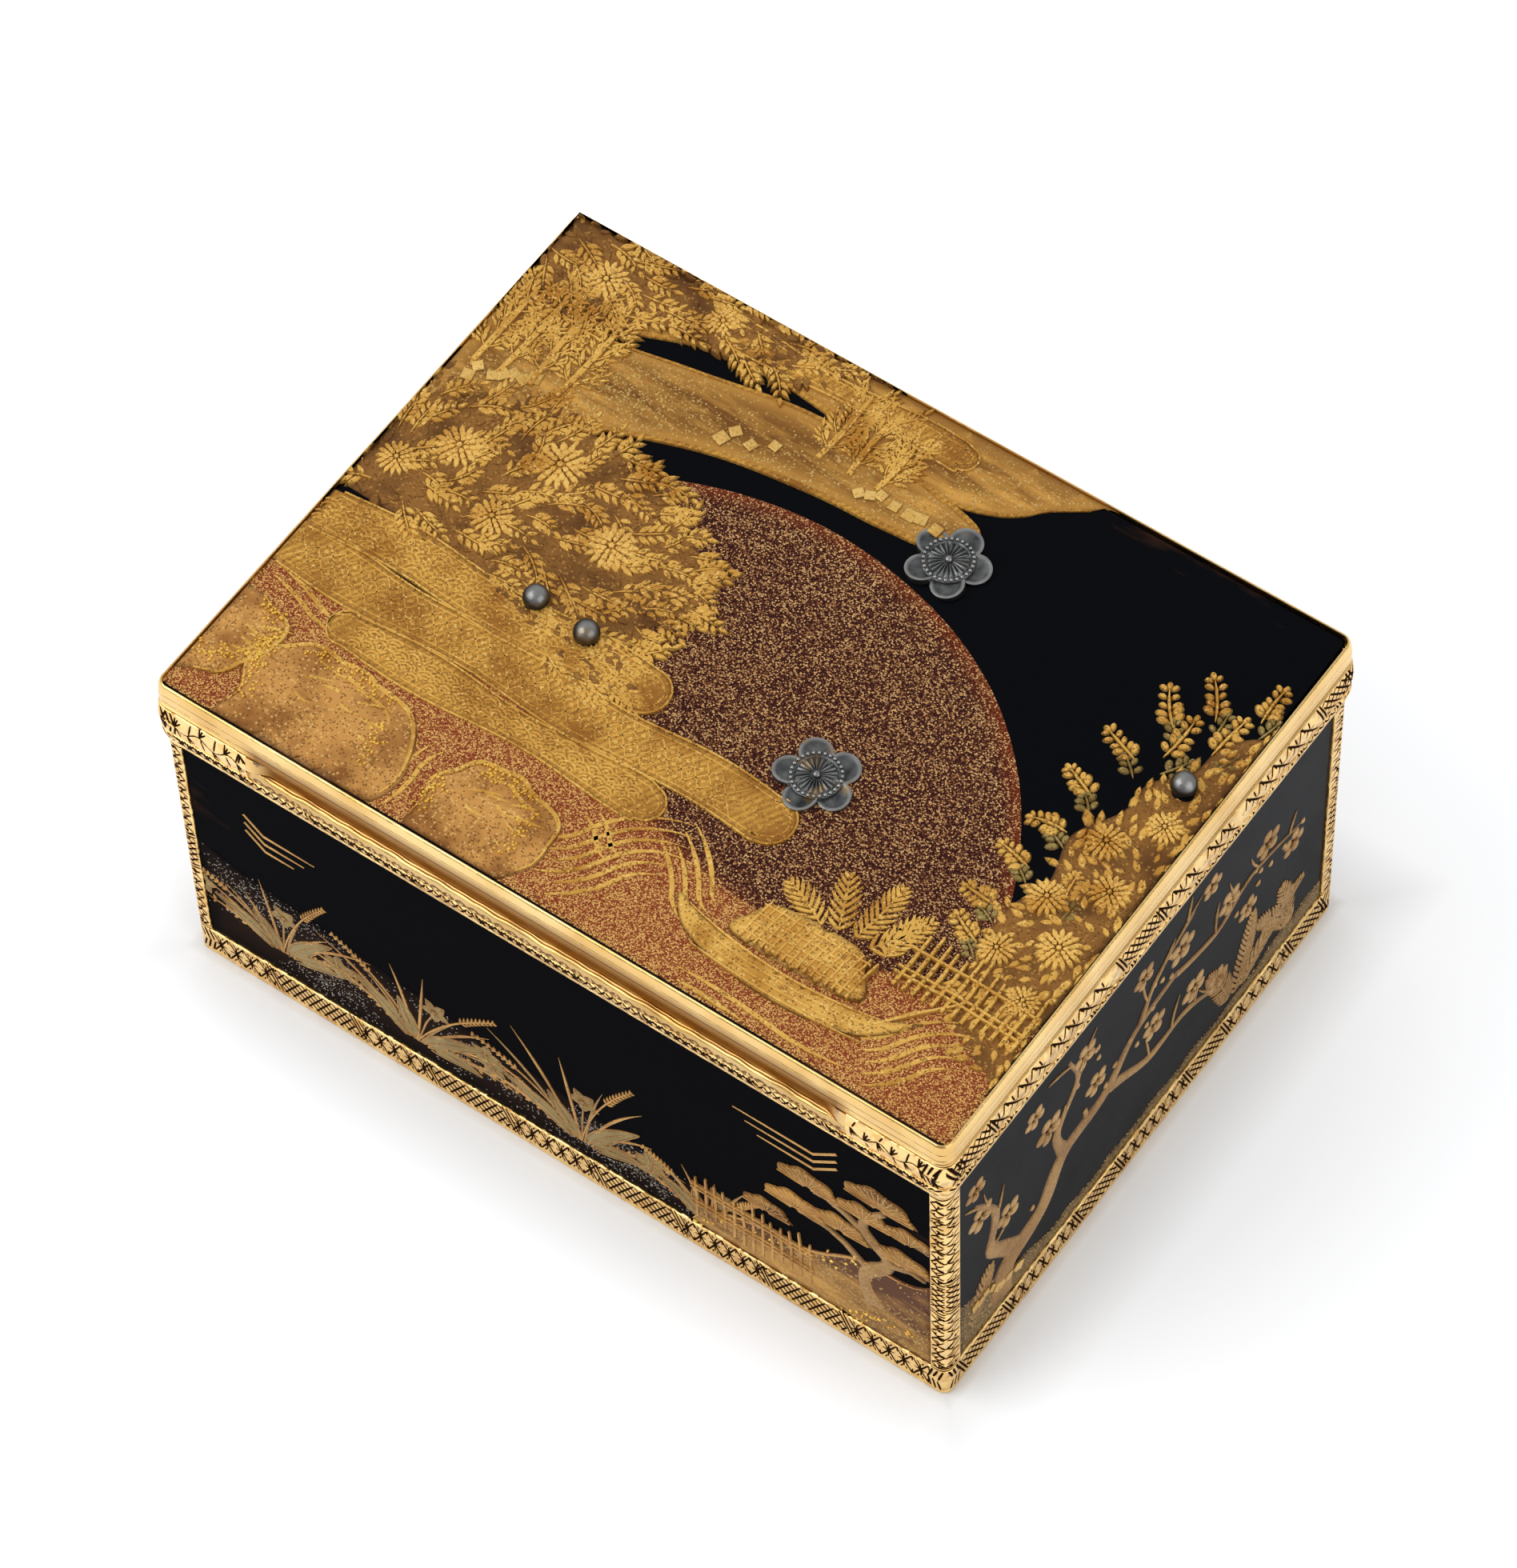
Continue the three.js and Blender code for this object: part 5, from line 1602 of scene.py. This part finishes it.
def addRightClump(under, leaves, blooms):
    # many-petalled blooms behind a brushwood fence, with shoots of oval leaves round the right-hand stud
    shape = curveThrough([(33.4, -20), (31.6, -14.5), (31.0, -8.5), (32.4, -4.2), (31.4, 0.6), (33.6, 5.0),
        (33.8, 8.4), (36.2, 11.4), (36.8, 14.6), (39.2, 17.4), (44, 18), (44, -20)])
    addPlate(under, shape, 0.08, 0.35, 0.8, 0.02, 0.06, 1.5, 0.4)
    scatterLeaves(leaves, shape, (40, -6), 1.3, 1.8, 0.12, 0.13, "leaf", 0.5)
    pale = newLayer("lid", "paleLeaves", "olive")
    for u, v, angle, length in ((32.6, 14.0, 2.4, 4.4), (35.0, 16.6, 2.0, 4.6), (31.8, 9.6, 2.8, 4.0),
            (38.2, 18.6, 1.7, 4.0), (30.8, 4.6, 2.7, 3.6), (31.0, 0.6, 3.1, 3.4), (30.4, -4.0, 2.9, 3.4),
            (30.2, -8.6, 3.1, 3.2), (33.4, 11.2, 1.4, 4.8), (36.6, 13.6, 1.5, 4.6), (31.0, -12.4, 2.8, 3.4),
            (34.6, -5.4, 1.9, 3.2)):
        addSpray(leaves, (u, v), angle, length, 5, 1.3, chance.uniform(-0.5, 0.5), 0.24, 0.08, "oval", 0.3, 1.0,
            0.62)
        addSpray(pale, (u + 0.7, v - 1.5), angle - 0.5, length * 0.6, 3, 1.15, 0.3, 0.2, 0.06, "oval", 0.24, 1.0,
            0.62)
    finishLayers(pale)
    for u, v, r, turn in ((37.4, 5.4, 1.9, 0.3), (34.2, 1.6, 2.1, 0.7), (37.2, -2.4, 2.1, 0.2),
            (33.2, -5.6, 2.1, 0.6), (36.8, -9.2, 2.3, 0.4), (32.6, -12.0, 1.9, 0.8), (37.2, -15.0, 1.8, 0.1)):
        addFlowerHead(blooms, (u, v), r, 16, 0.2, 0.26, turn)
    for k in range(13):
        u = 27.6 + k * 0.95
        top = -14.2 + 0.5 * math.sin(k * 1.3) + chance.uniform(-0.3, 0.3)
        addLine(leaves, [(u, -19.6), (u + 0.1, -17), (u + chance.uniform(-0.15, 0.15), top)], 0.46, 0.2, 0.26,
            (0.9, 0.6))
    for v in (-18.4, -17.8, -15.8):
        addLine(leaves, [(27.0, v), (33, v + 0.15), (39.3, v)], 0.3, 0.12, 0.42, (0.9, 0.9))


def addLidPlants():
    under, leaves, blooms = lidLayers(("bushGround", "brown"), ("lidLeaves", "relief"), ("lidBlooms", "bright"))
    for key, root, low in (("bush", (-37, -3), 0.06), ("corner", (-42, 27), 0.16)):
        shape = curveThrough(lidArt[key])
        addPlate(under, shape, 0.1, 0.35, 0.8, low, 0.1, 1.5, 0.4, 0, lambda flat,
            gap: 0.04 * np.sin(flat[:, 0] * 2.6) * np.sin(flat[:, 1] * 2.9))
        scatterLeaves(under, shape, root, 1.25, 1.8, 0.1, low + 0.13, "leaf", 0.5)
        fillSprays(leaves, shape, np.array(root), 2.7, 1.9, low + 0.16)
    edge = curveThrough(lidArt["bush"])
    edge = edge[edge[:, 0] > -38]
    for k in range(0, len(edge), 3):  # shoots that reach over the edge of the clump
        place = edge[k]
        if place[1] < -4.5 and place[0] < -12:
            continue
        angle = math.atan2(place[1], place[0] + 27)
        addSpray(leaves, place - 0.8 * heading(angle), angle + chance.uniform(-0.3, 0.3),
            chance.uniform(1.6, 2.8), 3, 1.9, chance.uniform(-0.5, 0.5), 0.16, 0.14)
    for u, v, r, turn in ((-33.5, 3.8, 2.6, 0.1), (-25.2, 7.0, 2.9, 0.5), (-26.8, -0.6, 2.3, 0.2),
            (-16.6, 2.6, 2.7, 0.9), (-37.2, -0.2, 2.1, 0.4), (-33.6, 25.2, 2.5, 0.2), (-22.6, 27.2, 2.0, 0.6)):
        addFlowerHead(blooms, (u, v), r, 16, 0.2, 0.3, turn)
    addRightClump(under, leaves, blooms)
    for u, lean, height in ((-38.0, 0.03, 11.5), (-35.4, 0.08, 13.0), (-32.4, -0.1, 12.4), (-29.8, 0.1, 12.0)):
        addStems(leaves, (u, 11.6 + 0.1 * u + 4), lean, height * 0.85, 0.26)
    for u, lean, height in ((-7.6, 0.1, 8.0), (-4.4, -0.1, 7.0), (-1.6, 0.16, 6.0)):
        addStems(leaves, (u, 20.0), lean, height, 0.22)
    for u, v, angle, length in ((22.5, -17.6, 1.35, 6.4), (24.0, -17.8, 0.85, 6.0), (21.0, -17.8, 1.95, 5.5),
            (19.6, -18.2, 2.6, 5.0), (25.6, -17.8, 1.6, 4.6)):
        addFrond(leaves, (u, v), angle, length, 2.0, chance.uniform(-0.5, 0.5), 0.13, 0.1)
    finishLayers(under, leaves, blooms)


def addLidWater():
    waves, rocks, rims, specks = lidLayers(("streamLines", "relief"), ("shoreRocks", "rock"),
        ("rockRims", "relief"), ("rockNuggets", "nugget"))
    streams = (  # start, direction, length, bend, how many lines
        ((-2.0, -29.0), 0.42, 13, -0.7, 6), ((3.5, -18.6), -0.5, 10, 0.5, 4), ((9.5, -29.2), 0.08, 21, 0.2, 2),
        ((30.4, -29.0), 0.5, 9.5, -0.6, 6), ((-17.2, -29.2), 1.2, 8, -0.5, 2), ((-3.0, -20.2), -0.3, 6, 0.6, 2),
        ((-39, -15.6), -0.12, 9, 0.3, 2), ((15, -19.8), -0.12, 11, 0.3, 2))
    for foot, angle, length, bend, count in streams:
        first = stemPath(foot, angle, length * 0.55, -bend, 18)
        second = stemPath(first[-1], angle - bend, length * 0.45, bend * 1.8, 18)
        line = np.concatenate([first, second[1:]])
        for k in range(count):
            start, end = chance.integers(0, 6), len(line) - chance.integers(0, 6)
            addLine(waves, (line + sideways(line) * k * 1.1)[start:end], 0.56, 0.09, 0.08, (0.3, 0.08))
    for outline in lidArt["rocks"]:
        shape = curveThrough(outline)
        middle = shape.mean(0)
        turn = np.arctan2(*(shape - middle).T)
        shape = middle + (shape - middle) * (1 + 0.05 * np.sin(3 * turn + middle[0])
            + 0.035 * np.sin(8 * turn))[:, None]
        addPlate(rocks, shape, 0.16, 0.6, 0.55, 0.1, 0.14, 1.6, 0.35, 1.2, lambda flat,
            gap: 0.03 * np.sin(flat[:, 0] * 1.7 + flat[:, 1]) * np.cos(flat[:, 1] * 1.9))
        shown = keepOnFace(shape, "lid")
        top = startAtGap(shown[(shown[:, 1] > -28.8) & (shown[:, 0] > -38.8)])
        addLine(rims, middle + (top - middle) * 0.955, 0.6, 0.12, 0.24, (0.4, 0.3))
        addLine(rims, middle + (top[len(top) // 5:len(top) * 3 // 5] - middle) * 0.72, 0.5, 0.08, 0.34,
            (0.3, 0.1))
        for k in range(7):  # hollows and cracks in the stone
            start = middle + (top[len(top) * (k + 1) // 9] - middle) * (0.35 + 0.08 * (k % 3))
            addLine(rims, stemPath(start, -0.5 + 0.5 * (k % 3), 2.6 + 0.5 * (k % 2), 0.9 - 0.6 * (k % 3), 10),
                0.4, 0.07, 0.34, (0.2, 0.2))
        for share, low, high, count in ((0.82, 0.3, 0.62, 60), (0.6, 0.0, 0.25, 34), (0.84, 0.75, 1.0, 34)):
            addNuggets(specks, middle + (top[int(len(top) * low):int(len(top) * high)] - middle) * share, count,
                0.42, 0.36)
    finishLayers(rocks, rims, specks, waves)


def addBoat():
    hull, load = lidLayers(("boatHull", "relief"), ("boatLoad", "bright"))
    shift = np.array([44.6, -1.6])
    outline = curveThrough([(-36.5, -20.4), (-34.4, -23.0), (-30, -24.4), (-23, -24.8), (-16.5, -23.6),
        (-12.6, -19.6), (-15.4, -21.0), (-20, -21.9), (-27, -22.0), (-33, -21.4)], True, 6)
    addPlate(hull, outline + shift, 0.26, 0.3, 0.5, 0.14, 0.04, 1, 0.3)
    for inset in (0.0, 0.75, 1.5, 2.2):
        us = np.arange(-35.0 + inset, -13.6 - inset, 0.6)
        rise = 1.5 * ((us + 24.5) / 11) ** 2 * (1 - 0.2 * inset)
        addLine(load, np.column_stack([us, -22.3 - inset + rise]) + shift, 0.3, 0.07, 0.42)
    roof = curveThrough([(-30.5, -21.4), (-30.2, -18.6), (-28.6, -16.9), (-21.4, -16.6), (-19.4, -18.2),
        (-18.8, -21.2)], True, 6)
    addPlate(hull, roof + shift, 0.34, 0.5, 0.5, 0.2, 0.1, 1, 0.3)
    for k in range(16):  # woven mat over the boat
        u = -29.8 + k * 0.7
        addLine(load, np.array([(u, -21.3), (u + 0.15, -19.0), (u + 0.4, -17.2)]) + shift, 0.3, 0.07, 0.62,
            (0.9, 0.7))
    for v in (-20.7, -19.7, -18.7, -17.7):
        us = np.arange(-29.8, -19.1, 0.5)
        addLine(load, np.column_stack([us, v + 0.05 * np.sin(us * 6)]) + shift, 0.24, 0.06, 0.66, (0.9, 0.9))
    addLine(load, np.array([(-16.6, -22.6), (-13.4, -18.8), (-11.4, -16.6)]) + shift, 0.34, 0.1, 0.36, (0.9, 0.6))
    finishLayers(hull, load)


addLidGrounds()
addLidMist()
addLidPlants()
addLidWater()
addBoat()
print("lid decoration ready")


# The sides: autumn grasses and bellflowers on the long ones, a plum tree on the short ones
def sideLayers(face, *kinds):
    return [newLayer(face, f"{face}_{name}", finish) for name, finish in kinds]


def addBell(plate, lines, centre, size, turn):
    # an open bellflower: five outlined petals with a vein down each
    for k in range(5):
        angle = turn + k * 2 * math.pi / 5
        way = heading(angle)
        addBlob(lines, centre, angle, size * 1.1, size * 0.86, 0.05, "leaf", 0.01, 12)
        addBlob(plate, np.add(centre, way * size * 0.1), angle, size * 0.88, size * 0.58, 0.09, "leaf", 0.03, 12)
        addLine(lines, [np.add(centre, way * size * s) for s in (0.2, 0.85)], 0.14, 0.04, 0.12, (0.8, 0.3))
    addBlob(lines, centre, 0, size * 0.3, size * 0.3, 0.1, "oval", 0.08, 8)


def addSwordLeaf(plate, lines, foot, angle, length, width, bend):
    # a broad leaf with raised edges and a line down its middle
    middle = stemPath(foot, angle, length, bend, 16)
    offset = sideways(middle) * (0.5 * width * np.sin(math.pi * np.linspace(0.06, 1, 16) ** 0.7) ** 0.8)[:, None]
    addPlate(plate, np.concatenate([middle + offset, (middle - offset)[-2:0:-1]]), 0.08, 0.25, 0.7, 0.02, 0.02, 1,
        0.2)
    for way in (-1, 1):
        addLine(lines, middle + way * offset, 0.22, 0.08, 0.04, (0.8, 0.6))
    addLine(lines, middle[:-2], 0.16, 0.05, 0.1, (0.8, 0.3))


def addGrassClump(plate, pale, gold, foot, reach, lean):
    # arching blades and broad leaves, seed heads, bellflowers and small-leaved shoots from one foot
    foot = np.array(foot)
    for k in range(9):
        way = (k - 4) * 0.22 + chance.uniform(-0.05, 0.05)
        addLine(gold if k % 3 else pale, stemPath(foot + (-1.6 * way, 0), math.pi / 2 + lean + way,
            reach * chance.uniform(0.75, 1.3), way * 1.1, 20), 0.36, 0.08, 0.02, (0.8, 0.06))
    for way, share in ((0.75, 0.75), (-0.62, 0.8), (0.3, 0.55), (-1.05, 0.55)):
        addSwordLeaf(plate, pale, foot + (-1.2 * way, 0.1), math.pi / 2 + lean + way, reach * share, 1.7,
            way * 0.7)
    for way, share in ((0.5, 1.25), (-0.3, 1.35)):
        stem = stemPath(foot, math.pi / 2 + lean + way, reach * share, way * 1.6, 48)
        addLine(gold, stem, 0.22, 0.07, 0.04, (0.9, 0.5))
        for k in range(30, 48, 2):
            step = stem[k] - stem[k - 1]
            for side in (-1, 1):
                addBlob(gold, stem[k], math.atan2(step[1], step[0]) + side * 0.85, 0.8 - 0.02 * (k - 30), 0.34,
                    0.1, "leaf", 0.03, 6)
    for across, up, size, turn in ((-0.85, 0.42, 1.8, 0.2), (0.72, 0.3, 1.9, 0.6), (0.12, 0.62, 1.7, 0.9)):
        place = foot + reach * np.array([across - lean * up, up])
        addLine(pale, [foot + (0.2 * across, 0), (foot + place) / 2 + (0.2 * across, 0.6), place], 0.26, 0.06,
            0.02, (0.9, 0.6))
        addBell(plate, pale, place, size, turn)
    for way in (-1.0, 1.05):
        addSpray(gold, foot + (way, 0.3), math.pi / 2 + lean - way * 1.05, reach * 0.85, 7, 0.95, way * -0.4,
            0.08, 0.03, "oval", 0.22, 0.9, 0.55, 7)


def addPineTuft(plate, lines, centre, width):
    # a flat-footed cloud of needles fanned out from its foot
    turn, centre = np.linspace(0, math.pi, 29), np.array(centre)
    swell = (1 + 0.07 * np.cos(7 * turn))[:, None]
    addPlate(plate, centre + width * swell * np.column_stack([0.5 * np.cos(turn), 0.38 * np.sin(turn)]), 0.1, 0.3,
        0.6, 0.04, 0.05, 1, 0.3)
    for a in np.linspace(0.12, math.pi - 0.12, int(width * 2.1)):
        tip = np.array([0.5 * math.cos(a), 0.38 * math.sin(a)]) * width
        addLine(lines, centre + np.array([tip * 0.12, tip * 0.97]), 0.24, 0.06, 0.15, (0.5, 0.7))


def addLongSide(face):
    ground, dusted, plate, pale, gold, nuggets = layers = sideLayers(
        face, ("rocks", "hill"), ("dustedFoot", "foot"), ("bells", "khaki"), ("stems", "tan"), ("twigs", "sideGold"),
        ("nuggets", "nugget"))
    shape = curveThrough([(-44, 19), (-34, 17.2), (-24, 15.6), (-12, 13.8), (0, 12.4), (10, 10.6), (20, 9.6),
        (30, 7.4), (44, 6.0), (44, 0), (-44, 0)])
    addPlate(dusted, shape, 0.02, 0.3, 0.8, 0, 0, 1, 0.001, 2.2)
    for place, reach, lean in (((-30.0, 7.4), 9.6, 0.1), ((-15.5, 6.2), 10.6, -0.15), ((2.0, 6.0), 11.0, 0.12),
            ((15.5, 5.2), 7.6, -0.05)):
        addGrassClump(plate, pale, gold, place, reach, lean)
    # mist lines with a corner, high at the right and low at the left
    for shift in (0.0, 1.2, 2.4):
        for path in ([(38.1, 29.6), (29.0, 29.6), (26.6, 27.4), (18.5 + shift, 27.4)],
                [(-38.1, 27.2), (-32.4, 27.2), (-30.4, 25.4), (-25 - shift, 25.4)]):
            addLine(gold, np.subtract(path, (0, shift)), 0.36, 0.07, 0.0, (0.9, 0.4))
    # a hill with an old pine at the right end, and a brushwood fence before it
    for outline in ([(13, 3), (15.5, 7.4), (20, 9.8), (26, 11.2), (31, 14.6), (36, 15.2), (42, 17.6), (42, 1),
            (13, 1)], [(29, 2), (30.4, 5.6), (34, 7.8), (42, 7.4), (42, 1)]):
        shape = curveThrough(outline)
        addPlate(ground, shape, 0.08, 0.35, 0.6, 0.02, 0.05, 1.5, 0.4)
        shown = keepOnFace(shape, face)
        top = startAtGap(shown[(shown[:, 1] > 4.4) & (shown[:, 0] < 37.9)])
        addLine(gold, top - (0, 0.25), 0.34, 0.06, 0.08, (0.5, 0.5))
        addNuggets(nuggets, top - (0, 1.1), 30, 0.5, 0.1)
    addBranch(pale, [(33.0, 7.6), (31.6, 12.4), (34.0, 16.6), (31.4, 20.4), (33.6, 24.4)],
        [2.2, 1.8, 1.5, 1.2, 0.7], 0.14, 0.05)
    for points in ([(32.2, 13.6), (28.6, 16.4), (25.4, 16.6)], [(33.4, 16.0), (36.0, 17.4), (37.8, 17.2)],
            [(32.0, 19.6), (28.2, 21.4), (26.4, 21.2)]):
        addBranch(pale, points, [1.1, 0.8, 0.5], 0.12, 0.05)
    for u, v, wide in ((24.6, 16.6, 6.4), (29.2, 17.4, 6.0), (35.6, 17.6, 6.2), (26.0, 21.4, 6.4),
            (31.6, 21.6, 5.6), (36.2, 21.8, 5.4), (33.2, 24.8, 7.2), (21.6, 13.2, 5.0)):
        addPineTuft(ground, gold, (u, v), wide)
    for k in range(13):
        u = 14.2 + k * 0.98
        foot, top = 5.6 + 0.6 * math.sin(k * 0.8), 11.9 + 0.6 * math.sin(k * 1.3) + chance.uniform(-0.3, 0.3)
        addLine(gold, [(u, foot), (u + 0.1, (foot + top) / 2), (u + chance.uniform(-0.2, 0.3), top)], 0.42, 0.09,
            0.12, (0.9, 0.5))
    for v in (7.4, 8.0, 10.0, 10.6):
        addLine(gold, [(13.7, v), (20, v + 0.15), (26.4, v)], 0.26, 0.07, 0.19, (0.9, 0.9))
    finishLayers(*layers)


def addShortSide(face):
    ground, wood, blooms, squares = layers = sideLayers(
        face, ("ground", "oliveDust"), ("wood", "tan"), ("blooms", "paleTan"), ("squares", "foil"))
    low = [(u, 5.4 + 6.5 * math.exp(-((u + 29) / 9) ** 2) + 1.4 * math.exp(-((u - 24) / 6) ** 2)
        + 0.3 * math.sin(u)) for u in np.linspace(-30, 30, 30)]
    addPlate(ground, curveThrough(low + [(30, 1), (-30, 1)], True, 3), 0.06, 0.3, 0.8, 0, 0.03, 1, 0.6)
    trunk = [(-22, 4.5), (-20.5, 9.0), (-15.5, 11.5), (-12.0, 16.0), (-6.0, 17.2), (-1.5, 21.0), (4.5, 22.0)]
    addBranch(wood, trunk, [4.4, 3.6, 2.8, 2.4, 1.8, 1.3, 0.7], 0.12, 0.02)
    for points, widths in (([(-19, 10.4), (-23, 15), (-22.5, 20.5), (-25.5, 25.5)], [2.4, 1.6, 1.1, 0.4]),
            ([(-12, 15.6), (-13.5, 20.5), (-10.5, 25.2), (-11.8, 29.6)], [1.8, 1.2, 0.8, 0.4]),
            ([(-5.6, 17.2), (0.5, 13.8), (6.5, 13.6), (12.5, 9.8)], [1.5, 1.1, 0.8, 0.3]),
            ([(4.2, 22.0), (10.5, 20.4), (16.0, 22.6), (23.5, 21.0)], [0.9, 0.8, 0.6, 0.3]),
            ([(-1.2, 21.0), (1.5, 25.6), (7.0, 28.6)], [1.0, 0.7, 0.3])):
        line = addBranch(wood, points, widths, 0.1, 0.02)
        for share in (0.35, 0.55, 0.75, 0.92):
            place = pointOn(line, share)
            turn = chance.uniform(0.3, 2.8)
            addLine(wood, stemPath(place, turn, chance.uniform(2.5, 5.5), chance.uniform(-0.5, 0.5)), 0.32, 0.08,
                0.02, (0.8, 0.2))
    for u, v, size in ((-24.6, 22.6, 2.0), (-20.6, 17.6, 1.9), (-25.4, 28.0, 1.6), (-14.6, 22.8, 2.1),
            (-9.4, 27.4, 1.9), (-7.6, 20.8, 1.8), (1.2, 18.0, 1.9), (7.4, 15.8, 2.0), (11.2, 12.2, 1.8),
            (5.2, 25.0, 2.1), (12.6, 22.8, 1.9), (18.4, 24.4, 2.0), (22.6, 19.2, 1.8), (9.6, 29.0, 1.6),
            (-0.6, 28.0, 1.7), (-16.8, 27.6, 1.6), (15.6, 17.8, 1.6)):
        addPlum(blooms, (u, v), size * 0.92, chance.uniform(0, 1.2))
    for k in range(34):
        path = trunk if k % 2 else [(-10, 24), (2, 24), (12, 21), (24, 22)]
        place = pointOn(curveThrough(path, False, 6), chance.uniform(0, 1)) + chance.uniform(-2.4, 2.4, 2)
        addBlob(blooms, place, chance.uniform(0, 3), 0.85, 0.75, 0.1, "oval", 0.03, 8)
    for u, angle, length in ((14, 1.2, 10), (15, 0.75, 11), (13, 1.8, 9), (22, 1.5, 8), (23, 2.1, 9),
            (-26, 1.2, 7)):
        addFrond(wood, (u, 6.4), angle, length, 2.2, chance.uniform(-0.6, 0.6), 0.08, 0.02)
    addSquares(squares, np.linspace((-26.4, 9.8), (-18.5, 6.4), 40), 9, 0.95, 0.1)
    finishLayers(*layers)


for face in ("front", "back"):
    addLongSide(face)
for face in ("right", "left"):
    addShortSide(face)
print("side decoration ready")


# What the CAD already has right gets its finish only
def dress(name, finish):
    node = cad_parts[name]
    if not node.material_slots:
        node.data.materials.append(None)
    for place in node.material_slots:
        place.material = finishes[finish]


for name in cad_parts:
    if name == "lacquer_panel_base":
        dress(name, "frontBlack")
    elif name == "lid_lacquer_panel":
        dress(name, "black")
    elif "lining" in name:
        dress(name, "liningGold")
